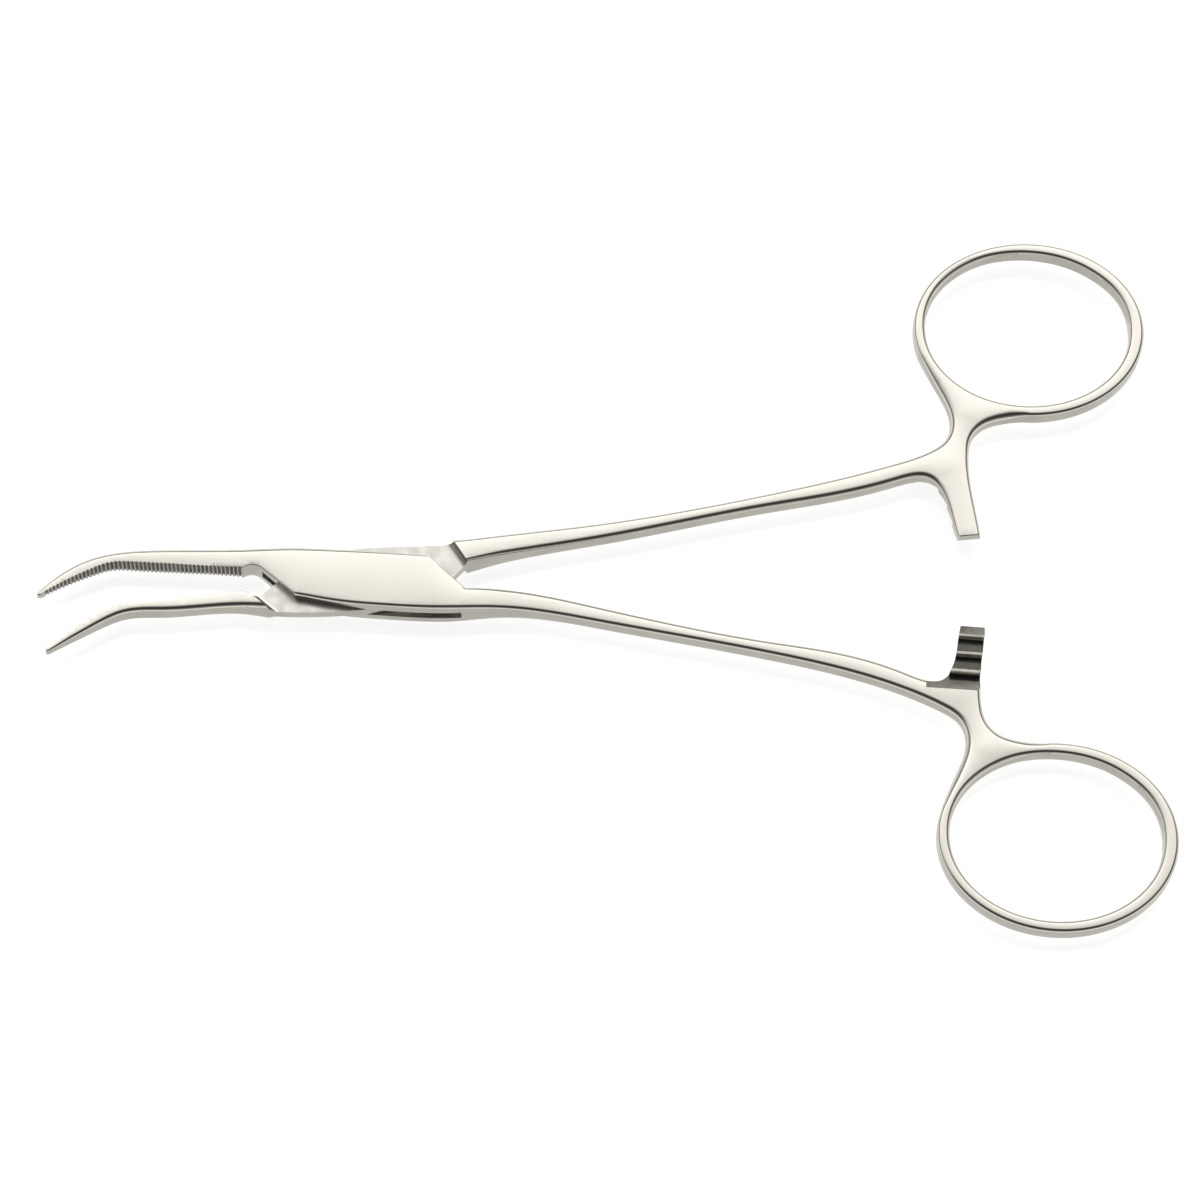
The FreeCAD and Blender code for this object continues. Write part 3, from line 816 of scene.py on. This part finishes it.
class Workshop:
    """Builds closed meshes, cuts them with each other and turns them into finished pieces."""

    def __init__(self) -> None:
        """Make the finishes that every piece shares."""
        self.materials = {finish: style.make() for finish, style in FINISHES.items()}

    def mesh(self, name: str, points: Points, faces: Sequence, finish: Finish) -> bpy.types.Object:
        """A mesh object with outward normals.

        Args:
            name: Name of the object.
            points: Its corners in millimetres.
            faces: Its faces as lists of corner numbers.
            finish: Its finish.

        Returns:
            The object.
        """
        data = bpy.data.meshes.new(name)
        data.from_pydata([tuple(point) for point in points], [], [tuple(face) for face in faces])
        data.materials.append(self.materials[finish])
        shaped = bmesh.new()
        shaped.from_mesh(data)
        bmesh.ops.recalc_face_normals(shaped, faces=shaped.faces)
        shaped.to_mesh(data)
        shaped.free()
        made = bpy.data.objects.new(name, data)
        bpy.context.collection.objects.link(made)
        return made

    def prism(self, name: str, loop: Points, low: float, high: float, finish: Finish) -> bpy.types.Object:
        """A closed straight block over a loop in plan.

        Args:
            name: Name of the object.
            loop: Corners in plan, in millimetres.
            low: Height of its lower end.
            high: Height of its upper end.
            finish: Its finish.

        Returns:
            The object.
        """
        count = len(loop)
        points = np.vstack([np.column_stack((loop, np.full(count, level))) for level in (low, high)])
        sides = [(k, (k + 1) % count, count + (k + 1) % count, count + k) for k in range(count)]
        caps = [tuple(range(count))[::-1], tuple(range(count, 2 * count))]
        return self.mesh(name, points, sides + caps, finish)

    def dress(self, piece: bpy.types.Object, finish: Finish, chosen: Iterable[int]) -> None:
        """Give some faces of a piece another finish.

        Args:
            piece: The object.
            finish: The other finish.
            chosen: Numbers of the faces.
        """
        piece.data.materials.append(self.materials[finish])
        for number in chosen:
            piece.data.polygons[number].material_index = len(piece.data.materials) - 1

    def cut(self, piece: bpy.types.Object, cutter: bpy.types.Object) -> None:
        """Take a closed cutter away from a piece and drop the cutter.

        Args:
            piece: The object that is cut.
            cutter: The closed object taken away.
        """
        modifier = piece.modifiers.new("cut", "BOOLEAN")
        modifier.operation = "DIFFERENCE"
        modifier.object = cutter
        modifier.solver = "EXACT"
        modifier.material_mode = "TRANSFER"
        self.bake(piece)
        bpy.data.objects.remove(cutter, do_unlink=True)

    def bake(self, piece: bpy.types.Object) -> None:
        """Turn what a piece's modifiers make into its plain mesh.

        Args:
            piece: The object.
        """
        graph = bpy.context.evaluated_depsgraph_get()
        graph.update()
        result = bpy.data.meshes.new_from_object(piece.evaluated_get(graph))
        piece.modifiers.clear()
        piece.data = result

    def finish(self, piece: bpy.types.Object, turn: float, lift: float) -> None:
        """Bring a piece from its closed place in millimetres to its place in the frame.

        Args:
            piece: The object.
            turn: Turn about the pivot in degrees.
            lift: Height of its middle plane in millimetres.
        """
        spin = Matrix.Rotation(math.radians(turn), 4, "Z")
        piece.data.transform(Matrix.Scale(MM, 4) @ Matrix.Translation((0.0, 0.0, lift)) @ spin)
        piece.data.shade_smooth()
        piece.data.set_sharp_from_angle(angle=SMOOTH_ANGLE)
        log.info("%s: %d faces", piece.name, len(piece.data.polygons))


class Nearness:
    """Distance from points of the plan to the rims of an outline."""

    CROWN_SLOPE = 0.10
    CROWN_MOST = 0.12
    DEEPEST_SHARE = 0.92
    TINY = 1e-12

    def __init__(self, rims: Sequence[Rim]) -> None:
        """Sort the rims' points for quick searches.

        Args:
            rims: The rims to measure from.
        """
        self.rims = rims
        self.trees = []
        for rim in rims:
            tree = kdtree.KDTree(len(rim.points))
            for index, (x, y) in enumerate(rim.points):
                tree.insert((x, y, 0.0), index)
            tree.balance()
            self.trees.append(tree)

    def measure(self, rim: Rim, tree: kdtree.KDTree, points: Points) -> tuple[np.ndarray, np.ndarray]:
        """Distance of points from one rim, and the rim's number nearest to each.

        Args:
            rim: The rim.
            tree: Its points, sorted for searches.
            points: Places in the plan.

        Returns:
            The distance of each place, and the number of the rim's nearest point.
        """
        nearest = np.array([tree.find((x, y, 0.0))[1] for x, y in points])
        best = np.full(len(points), np.inf)
        last = len(rim.points) - 1
        for first in (nearest - 1, nearest):
            first = np.clip(first, 0, last - 1)
            a, b = rim.points[first], rim.points[first + 1]
            along = ((points - a) * (b - a)).sum(1) / np.maximum(((b - a) ** 2).sum(1), self.TINY)
            foot = a + np.clip(along, 0.0, 1.0)[:, None] * (b - a)
            best = np.minimum(best, np.linalg.norm(points - foot, axis=1))
        return best, nearest

    def drop(self, points: Points, half: np.ndarray) -> tuple[np.ndarray, np.ndarray]:
        """How far the rounding and the crown lie below the flat, and the distance from any rim.

        The crown is highest midway between the far and the near side of a limb.

        Args:
            points: Places in the plan.
            half: Half of the thickness at each.

        Returns:
            The drop at each point, and its distance from the nearest rim.
        """
        total, clear = np.zeros(len(points)), np.full(len(points), np.inf)
        sides = {way: clear.copy() for way in (-1, 0, 1)}
        for rim, tree in zip(self.rims, self.trees):
            distance, nearest = self.measure(rim, tree, points)
            sides[rim.way] = np.minimum(sides[rim.way], distance)
            share = np.clip(1.0 - distance / rim.radius[nearest], 0.0, 1.0)
            deep = (rim.depth * rim.radius)[nearest]
            fall = np.minimum(deep, self.DEEPEST_SHARE * half)
            total = np.maximum(total, fall * (1.0 - np.sqrt(1.0 - share ** 2)))
            clear = np.minimum(clear, distance)
        width = sides[1] + sides[-1]
        crown = np.minimum(self.CROWN_SLOPE * width / 4, self.CROWN_MOST)
        return total + crown * ((sides[1] - sides[-1]) / width) ** 2, clear


class HalfMaker:
    """Makes the shown piece of one forged half."""

    GRID = 0.5
    GRID_SHIFT = 0.137
    ROW_SHARE = 0.92
    LEAST_CLEAR = 0.008
    MERGE = 1e-4
    # Faces whose normal rises less than this take the flank steel's painted shade.
    FLANK_LIMIT = 0.45
    DRILL_SIDES = 96
    SCOOP_POINTS = 13

    def __init__(self, shop: Workshop, forging: Forging) -> None:
        """Take the workshop and the forging to be made.

        Args:
            shop: Where meshes are made and cut.
            forging: Sizes of the half.
        """
        self.shop = shop
        self.forging = forging
        self.rims = forging.rims()
        self.hole = forging.hole_rim()
        self.nearness = Nearness(self.rims + [self.hole])

    def rows(self, loop: Points) -> Points:
        """Places of the rows across each rounding, and a grid between them, clear of each other.

        Args:
            loop: Points of the whole outline.

        Returns:
            The places.
        """
        found = []
        for rim in self.rims + [self.hole]:
            inward = rim.inward() * -self.forging.side
            for row in range(1, rim.rows + 1):
                reach = rim.radius * (1.0 - math.cos(math.radians(90.0) * row / rim.rows))
                points = rim.points + inward * reach[:, None]
                _, clear = self.nearness.drop(points, np.ones(len(points)))
                found.append(points[clear > self.ROW_SHARE * reach])
        low, high = loop.min(0), loop.max(0)
        high[0] = min(high[0], self.forging.taper_end)
        ticks = [np.arange(start, end, self.GRID) for start, end in zip(low, high)]
        found.append(np.stack(np.meshgrid(*ticks), -1).reshape(-1, 2) + self.GRID_SHIFT)
        points = np.concatenate(found)
        _, clear = self.nearness.drop(points, np.ones(len(points)))
        return points[clear > self.LEAST_CLEAR]

    def plan(self) -> tuple[Points, list[tuple[int, ...]], list[list[int]]]:
        """Points and triangles that fill the outline, and its loops.

        Returns:
            The points, the triangles and the numbers of the points round each loop.
        """
        loop = np.concatenate([rim.points[:-1] for rim in self.rims])
        hole = self.hole.points
        inner = self.rows(loop)
        points = np.concatenate((loop, hole, inner))
        loops = [list(range(len(loop))), list(range(len(loop), len(loop) + len(hole)))]
        edges = [(ring[k], ring[(k + 1) % len(ring)]) for ring in loops for k in range(len(ring))]
        filled = geometry.delaunay_2d_cdt([Vector(point) for point in points], edges, [], 2, self.MERGE)
        flat, origins = filled[0], filled[3]
        places = np.array([tuple(point) for point in flat])
        triangles = np.array(filled[2])
        kept = triangles[~self.forging.in_hole(places[triangles].mean(1))]
        number = {origin: k for k, sources in enumerate(origins) for origin in sources}
        return places, kept.tolist(), [[number[k] for k in ring] for ring in loops]

    def face_height(self, places: Points) -> np.ndarray:
        """Height of the upper face over the middle plane at places of the plan."""
        half = self.forging.half_thickness(places[:, 0])
        return half - self.nearness.drop(places, half)[0]

    def blank(self) -> bpy.types.Object:
        """The half before its cuts: crowned faces above and below, joined by a wall.

        Returns:
            The object.
        """
        places, triangles, loops = self.plan()
        height = self.face_height(places)
        count = len(places)
        points = np.vstack((np.column_stack((places, height)), np.column_stack((places, -height))))
        faces = [tuple(face) for face in triangles]
        faces += [tuple(k + count for k in reversed(face)) for face in triangles]
        for ring in loops:
            for k, start in enumerate(ring):
                end = ring[(k + 1) % len(ring)]
                faces.append((start, end, end + count, start + count))
        half = self.shop.mesh(self.forging.name, points, faces, Finish.POLISHED)
        # Faces steeper than the limit take the darker flank steel, painted shade of the table that they
        # reflect.
        shaded_flanks = [face.index for face in half.data.polygons if abs(face.normal.z) < self.FLANK_LIMIT]
        self.shop.dress(half, Finish.FLANK, shaded_flanks)
        return half

    def slot_plan(self) -> Points:
        """Plan of the slot through the outer half's box, which follows the tongue's slanted end.

        Returns:
            Corners of the slot.
        """
        rise = SLOT.tongue_front[1] - SLOT.tongue_throat[1]
        run = SLOT.tongue_front[0] - SLOT.tongue_throat[0]
        shift = SLOT.root_gap * math.hypot(rise, run) / rise
        top = self.forging.far_width + SLOT.spare
        climb = (top - SLOT.tongue_front[1]) * run / rise
        root = SLOT.tongue_throat[0] - shift
        corners = [(root, SLOT.tongue_throat[1]), (SLOT.tongue_front[0] - shift + climb, top)]
        return np.array(corners + [(SLOT.back, top), (SLOT.back, -top), (root, -top)])

    def cut_slot(self, half: bpy.types.Object) -> None:
        """Open the slot through the box."""
        level = SLOT.height / 2
        self.shop.cut(half, self.shop.prism("slot", self.slot_plan(), -level, level, Finish.SATIN))

    def cut_pin_hole(self, half: bpy.types.Object, radius: float) -> None:
        """Drill the hole for the pivot pin.

        Args:
            half: The half.
            radius: Radius of the hole.
        """
        turns = np.linspace(0.0, math.tau, self.DRILL_SIDES, endpoint=False)
        loop = radius * np.column_stack((np.cos(turns), np.sin(turns)))
        reach = self.forging.box_thickness
        self.shop.cut(half, self.shop.prism("drill", loop, -reach, reach, Finish.GROUND))

    def cut_step(self, half: bpy.types.Object, end: Sequence[float], lean: float, out: int, way: int) -> None:
        """Thin the half to its tongue on one side, with a scoop at the foot of the wall.

        Args:
            half: The half.
            end: A point of the wall's foot in plan.
            lean: Angle of the way across the foot, in degrees.
            out: 1 where the wall stands towards +X, -1 where towards -X.
            way: 1 above the tongue, -1 below it.
        """
        angle = math.radians(lean)
        across = out * np.array((math.cos(angle), math.sin(angle), 0.0))
        up = np.array((0.0, 0.0, way))
        along = np.cross(across, up)
        bends = np.linspace(0.0, math.radians(90.0), self.SCOOP_POINTS)
        scoop = [(SLOT.scoop * math.sin(bend), SLOT.scoop * (1.0 - math.cos(bend))) for bend in bends]
        top = self.forging.box_thickness
        profile = scoop + [(SLOT.scoop, top), (-SLOT.step_reach, top), (-SLOT.step_reach, 0.0)]
        foot = np.array((end[0], end[1], way * (SLOT.height / 2 - SLOT.play)))
        section = np.array([foot + a * across + b * up for a, b in profile])
        side = along * SLOT.step_span / 2
        points = np.vstack((section - side, section + side))
        count = len(section)
        faces = [tuple(range(count)), tuple(range(count, 2 * count))[::-1]]
        faces += [(k, (k + 1) % count, count + (k + 1) % count, count + k) for k in range(count)]
        cutter = self.shop.mesh("step", points, faces, Finish.SATIN)
        self.shop.dress(cutter, Finish.POLISHED, range(2, 1 + len(bends)))
        self.shop.cut(half, cutter)

    def cut_serrations(self, half: bpy.types.Object, grooves: "Serrations") -> None:
        """Cut the cross serrations along the bite."""
        self.shop.cut(half, grooves.cutter(self.shop, self.forging))

    def cut_teeth(self, half: bpy.types.Object, teeth: "Ratchet", way: int) -> None:
        """Cut the saw teeth of the ratchet bar.

        Args:
            half: The half.
            teeth: Sizes of the teeth.
            way: 1 where the teeth face up, -1 where down.
        """
        profile = teeth.profile(self.forging, way)
        start = self.forging.bar_along - teeth.reach
        end = self.forging.bar_along + self.forging.bar_width + teeth.spare
        points = np.vstack([np.column_stack((np.full(len(profile), x), profile)) for x in (start, end)])
        count = len(profile)
        faces = [tuple(range(count)), tuple(range(count, 2 * count))[::-1]]
        faces += [(k, (k + 1) % count, count + (k + 1) % count, count + k) for k in range(count)]
        self.shop.cut(half, self.shop.mesh("teeth", points, faces, Finish.GROUND))

    def deliver(self, half: bpy.types.Object) -> None:
        """Bring the half to its place and hand it over in the CAD node's stead.

        Args:
            half: The half.
        """
        turn = self.forging.side * self.forging.opening / 2
        self.shop.finish(half, turn, self.forging.box_thickness / 2)
        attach(half, self.forging.body)
        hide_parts(f"{self.forging.body}_half")


@dataclass(frozen=True)
class LockSlot:
    """Slot of the box and the steps down to the tongue, in millimetres."""

    height: float = 1.56
    play: float = 0.03
    root_gap: float = 0.45
    back: float = 9.75
    spare: float = 3.0
    tongue_throat: tuple[float, float] = (-15.5, -1.03)
    tongue_front: tuple[float, float] = (-9.6, 3.65)
    scoop: float = 0.85
    step_reach: float = 18.0
    step_span: float = 24.0
    front_lean: float = 44.0
    back_lean: float = 28.0
    step_back: float = 9.86
    pin_radius: float = 1.6
    pin_play: float = 0.03


SLOT = LockSlot()


@dataclass(frozen=True)
class Serrations:
    """Cross serrations of the bite, in millimetres."""

    phase: float
    pitch: float = 0.51
    depth: float = 0.24
    land: float = 0.08
    start: float = 0.35
    end: float = 0.30
    spare: float = 0.024

    def tree(self) -> bpy.types.NodeTree:
        """Nodes that set one notch on each point of the bite.

        Returns:
            The tree.
        """
        tree = bpy.data.node_groups.new("serration_notches", "GeometryNodeTree")
        face = tree.interface
        face.new_socket("Bite", in_out="INPUT", socket_type="NodeSocketGeometry")
        face.new_socket("Notch", in_out="INPUT", socket_type="NodeSocketObject")
        face.new_socket("Finish", in_out="INPUT", socket_type="NodeSocketMaterial")
        face.new_socket("Cutter", in_out="OUTPUT", socket_type="NodeSocketGeometry")
        kinds = {
            "start": "NodeGroupInput", "end": "NodeGroupOutput", "notch": "GeometryNodeObjectInfo",
            "heading": "GeometryNodeInputNamedAttribute", "axes": "ShaderNodeCombineXYZ",
            "turn": "FunctionNodeEulerToRotation", "set": "GeometryNodeInstanceOnPoints",
            "real": "GeometryNodeRealizeInstances", "dress": "GeometryNodeSetMaterial",
        }
        nodes = {name: tree.nodes.new(kind) for name, kind in kinds.items()}
        nodes["heading"].data_type = "FLOAT"
        nodes["heading"].inputs["Name"].default_value = "heading"
        wires = [
            ("start", "Bite", "set", "Points"), ("start", "Notch", "notch", "Object"),
            ("notch", "Geometry", "set", "Instance"), ("heading", "Attribute", "axes", "Z"),
            ("axes", "Vector", "turn", "Euler"), ("turn", "Rotation", "set", "Rotation"),
            ("set", "Instances", "real", "Geometry"), ("real", "Geometry", "dress", "Geometry"),
            ("start", "Finish", "dress", "Material"), ("dress", "Geometry", "end", "Cutter"),
        ]
        for source, output, target, entry in wires:
            tree.links.new(nodes[source].outputs[output], nodes[target].inputs[entry])
        return tree

    def cutter(self, shop: Workshop, jaw: Forging) -> bpy.types.Object:
        """All notches of a jaw as one closed cutter.

        Args:
            shop: Where meshes are made.
            jaw: The half whose bite is cut.

        Returns:
            The cutter.
        """
        face = -jaw.side * jaw.bite_gap / 2
        opening = (self.pitch - self.land) / 2 * (self.depth + self.spare) / self.depth
        root, mouth = -jaw.side * self.depth, jaw.side * self.spare
        loop = [(0.0, root), (-opening, mouth), (opening, mouth)]
        reach = jaw.box_thickness
        # The notch walls take the near-black groove steel, painted shade in the grooves.
        notch = shop.prism("notch", np.array(loop), -reach, reach, Finish.GROOVE)
        span = jaw.stations()[-1] - self.end - self.start
        middles = self.start + self.pitch * (self.phase + np.arange(int(span / self.pitch)))
        bite = bpy.data.meshes.new("bite")
        bite.from_pydata([(*jaw.bite_point(middle, face), 0.0) for middle in middles], [], [])
        heading = bite.attributes.new("heading", "FLOAT", "POINT")
        heading.data.foreach_set("value", [jaw.bite_heading(middle) for middle in middles])
        row = bpy.data.objects.new("notches", bite)
        bpy.context.collection.objects.link(row)
        modifier = row.modifiers.new("notches", "NODES")
        modifier.node_group = self.tree()
        inputs = {item.name: item.identifier for item in modifier.node_group.interface.items_tree}
        modifier[inputs["Notch"]] = notch
        modifier[inputs["Finish"]] = shop.materials[Finish.GROOVE]
        shop.bake(row)
        bpy.data.objects.remove(notch, do_unlink=True)
        return row


@dataclass(frozen=True)
class Ratchet:
    """Saw teeth of a ratchet bar, in millimetres."""

    cap_drop: float
    count: int = 3
    first: float = 1.6
    pitch: float = 2.4
    land: float = 0.30
    lean: float = 0.12
    depth: float = 0.75
    overlap: float = 0.25
    run_out: float = 9.3
    reach: float = 4.1
    spare: float = 3.0

    def profile(self, bar: Forging, way: int) -> Points:
        """Corners of the cut across the bar and along the pivot.

        Args:
            bar: The half whose bar is cut.
            way: Side that the teeth face along the pivot.

        Returns:
            The corners.
        """
        crest, valley = self.overlap, self.overlap - self.depth
        surface, above = bar.shank_thickness / 2, bar.shank_thickness
        cap = crest - self.cap_drop
        tip = -bar.bar_tip
        corners = [(tip - self.pitch, above), (tip - self.pitch, cap), (tip, cap)]
        for index in range(self.count):
            edge = self.first + index * self.pitch
            corners += [(edge - self.land, crest), (edge, crest), (edge + self.lean, valley)]
        slope = (above - surface) / (surface - valley)
        corners.append((self.run_out + slope * (self.run_out - corners[-1][0]), above))
        return np.array([(bar.side * outward, way * height) for outward, height in corners])


OUTER = Forging(
    name="outer_forging", body="outer", side=-1, throat=0.13, relief=0.35, front_corner=10.8,
    near_width=3.0, near_flat=6.0, jaw_heel=12.2, jaw_heel_width=2.78,
    jaw_widths=(2.75, 2.15, 1.62, 1.30), bows=(1.85, 4.24, 8.45),
    bar_width=3.0, bar_root=4.0, bar_tip=0.10,
)
INNER = Forging(
    name="inner_forging", body="inner", side=1, throat=-1.03, relief=0.22, front_corner=9.6,
    near_width=3.6, near_flat=11.0, jaw_heel=13.6, jaw_heel_width=3.28,
    jaw_widths=(2.25, 1.62, 1.38, 1.05), bows=(3.05, 5.34, 8.90),
    bar_width=2.8, bar_root=4.8, bar_tip=0.60,
)


@dataclass(frozen=True)
class OuterHalf:
    """Half whose box holds the slot, with its teeth facing up."""

    forging: Forging = OUTER
    grooves: Serrations = Serrations(phase=0.25)
    teeth: Ratchet = Ratchet(cap_drop=0.85)

    def build(self, shop: Workshop) -> HalfMaker:
        """Forge, cut and place the outer half.

        Args:
            shop: Where meshes are made and cut.

        Returns:
            The maker of the half.
        """
        maker = HalfMaker(shop, self.forging)
        half = maker.blank()
        maker.cut_slot(half)
        maker.cut_pin_hole(half, SLOT.pin_radius)
        maker.cut_serrations(half, self.grooves)
        maker.cut_teeth(half, self.teeth, 1)
        maker.deliver(half)
        return maker


@dataclass(frozen=True)
class InnerHalf:
    """Half that thins to the tongue in the slot, with its teeth facing down."""

    forging: Forging = INNER
    grooves: Serrations = Serrations(phase=0.75)
    teeth: Ratchet = Ratchet(cap_drop=0.35)

    def build(self, shop: Workshop) -> None:
        """Forge, cut and place the half.

        Args:
            shop: Where meshes are made and cut.
        """
        maker = HalfMaker(shop, self.forging)
        half = maker.blank()
        for way in (1, -1):
            maker.cut_step(half, SLOT.tongue_throat, SLOT.front_lean, -1, way)
            maker.cut_step(half, (SLOT.step_back, 0.0), SLOT.back_lean, 1, way)
        maker.cut_pin_hole(half, SLOT.pin_radius + SLOT.pin_play)
        maker.cut_serrations(half, self.grooves)
        maker.cut_teeth(half, self.teeth, -1)
        maker.deliver(half)


@dataclass(frozen=True)
class PivotPin:
    """Riveted pin, polished flush with the box."""

    node: str = "pivot_pin"
    sides: int = 96
    rings: int = 8

    def build(self, shop: Workshop, box: HalfMaker) -> None:
        """Shape the pin so that its ends continue the faces of the box.

        Args:
            shop: Where meshes are made.
            box: Maker of the outer half, whose faces the pin follows.
        """
        turns = np.linspace(0.0, math.tau, self.sides, endpoint=False)
        spokes = np.column_stack((np.cos(turns), np.sin(turns)))
        radii = np.linspace(SLOT.pin_radius, 0.0, self.rings, endpoint=False)
        places = np.vstack([spokes * radius for radius in radii] + [np.zeros((1, 2))])
        height, count = box.face_height(places), len(places)
        points = np.vstack((np.column_stack((places, height)), np.column_stack((places, -height))))
        faces = []
        for k in range(self.sides):
            after = (k + 1) % self.sides
            for first in range(0, (self.rings - 1) * self.sides, self.sides):
                quad = (first + k, first + after, first + self.sides + after, first + self.sides + k)
                faces += [quad, tuple(corner + count for corner in reversed(quad))]
            inner = (self.rings - 1) * self.sides
            tip = (inner + k, inner + after, count - 1)
            faces += [tip, tuple(corner + count for corner in reversed(tip))]
            faces.append((k, after, after + count, k + count))
        pin = shop.mesh("flush_pin", points, faces, Finish.POLISHED)
        shop.finish(pin, box.forging.side * box.forging.opening / 2, box.forging.box_thickness / 2)
        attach(pin, box.forging.body)
        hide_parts(self.node)


@dataclass(frozen=True)
class Studio:
    """White table, soft overhead light and camera of the photograph, in metres.

    The light is one wide panel overhead that reaches down behind the object and ends above
    the camera. Its stops are pairs of a place from the camera's side (0) to the far side (1)
    and a brightness. Its edges, and those of the fill near the horizon, are heights of the
    direction where the light is gone and where it is full, and the side edge is the same
    along X.
    """

    table_radius: float = 2.0
    table_rim: float = 0.35
    table_sides: int = 64
    table_drop: float = 2e-5
    table_colour: tuple[float, float, float] = (0.50, 0.50, 0.50)
    table_lift: float = 0.84
    table_mirror: float = 0.04
    table_blur: float = 0.06
    panel_level: float = 1.90
    panel_edge: tuple[float, float] = (0.48, 0.62)
    panel_stops: tuple[tuple[float, float], ...] = (
        (0.38, 0.0), (0.46, 0.20), (0.55, 0.42), (0.64, 0.58), (0.71, 0.74), (0.80, 0.92), (0.90, 1.0),
    )
    panel_side: tuple[float, float] = (0.70, 0.40)
    fill: float = 0.28
    fill_edge: tuple[float, float] = (0.60, 0.38)
    room: float = 0.04
    lens: float = 138.0
    eye: tuple[float, float, float] = (0.007889, -0.230642, 0.524513)
    eye_right: tuple[float, float, float] = (0.99946, -0.01471, 0.02933)
    eye_up: tuple[float, float, float] = (0.00174, 0.91635, 0.40038)

    def table_finish(self) -> bpy.types.Material:
        """White table that mirrors a little and keeps the instrument's shadow.

        Returns:
            The material.
        """
        white = Material("white_table")
        white.shader.inputs["Base Color"].default_value = (*self.table_colour, 1.0)
        white.shader.inputs["Roughness"].default_value = 1.0
        white.shader.inputs["Specular IOR Level"].default_value = 0.0
        path = white.node("ShaderNodeLightPath")
        seen = white.value(path, "Is Camera Ray") + white.value(path, "Is Glossy Ray")
        seen = seen + white.value(path, "Is Transmission Ray")
        white.shader.inputs["Emission Color"].default_value = (1.0, 1.0, 1.0, 1.0)
        white.feed(white.shader.inputs["Emission Strength"], seen * self.table_lift)
        gloss = white.node("ShaderNodeBsdfGlossy", Color=(1.0, 1.0, 1.0, 1.0), Roughness=self.table_blur)
        both = white.node("ShaderNodeMixShader", Fac=self.table_mirror)
        white.feed(both.inputs[1], white.value(white.shader, "BSDF"))
        white.feed(both.inputs[2], white.value(gloss, "BSDF"))
        white.feed(white.first("ShaderNodeOutputMaterial").inputs["Surface"], white.value(both, "Shader"))
        return white.data

    def lay_table(self) -> None:
        """Round table with a raised rim."""
        turns = np.linspace(0.0, math.tau, self.table_sides, endpoint=False)
        ring = self.table_radius * np.column_stack((np.cos(turns), np.sin(turns)))
        count = self.table_sides
        points = [(x, y, z) for z in (-self.table_drop, self.table_rim) for x, y in ring]
        faces = [tuple(range(count))]
        faces += [(k + count, (k + 1) % count + count, (k + 1) % count, k) for k in range(count)]
        data = bpy.data.meshes.new("table")
        data.from_pydata(points, [], faces)
        data.materials.append(self.table_finish())
        table = bpy.data.objects.new("table", data)
        bpy.context.collection.objects.link(table)

    def light(self) -> None:
        """Soft panel overhead in a dim room, as the world's brightness by direction."""
        sky = Shading(bpy.data.worlds.new("room"))
        direction = sky.value(sky.node("ShaderNodeTexCoord"), "Generated")
        axes = sky.node("ShaderNodeSeparateXYZ", Vector=direction)
        across, side, height = (sky.value(axes, axis) for axis in "XYZ")
        level = sky.steps(side * 0.5 + 0.5, self.panel_stops) * sky.ramp(height, *self.panel_edge)
        level = level * sky.ramp(across, *self.panel_side)
        low = sky.ramp(height, *self.fill_edge)
        back = sky.first("ShaderNodeBackground")
        sky.feed(back.inputs["Strength"], level * self.panel_level + low * self.fill + self.room)
        back.inputs["Color"].default_value = (1.0, 1.0, 1.0, 1.0)
        bpy.context.scene.world = sky.data

    def set_camera(self) -> None:
        """Camera where the photograph was taken from."""
        lens = bpy.data.cameras.new("camera")
        lens.lens = self.lens
        camera = bpy.data.objects.new("camera", lens)
        right, up = Vector(self.eye_right).normalized(), Vector(self.eye_up)
        back = right.cross(up).normalized()
        up = back.cross(right)
        turn = Matrix((right, up, back)).transposed().to_4x4()
        camera.matrix_world = Matrix.Translation(self.eye) @ turn
        bpy.context.collection.objects.link(camera)
        bpy.context.scene.camera = camera
        bpy.context.scene.view_settings.view_transform = "Standard"

    def build(self) -> None:
        """Set the whole studio up."""
        self.lay_table()
        self.light()
        self.set_camera()
        log.info("studio ready")


def main() -> None:
    """Build every piece and the studio."""
    logging.basicConfig(level=logging.INFO)
    shop = Workshop()
    box = OuterHalf().build(shop)
    InnerHalf().build(shop)
    PivotPin().build(shop, box)
    Studio().build()


if __name__ == "__main__":
    main()
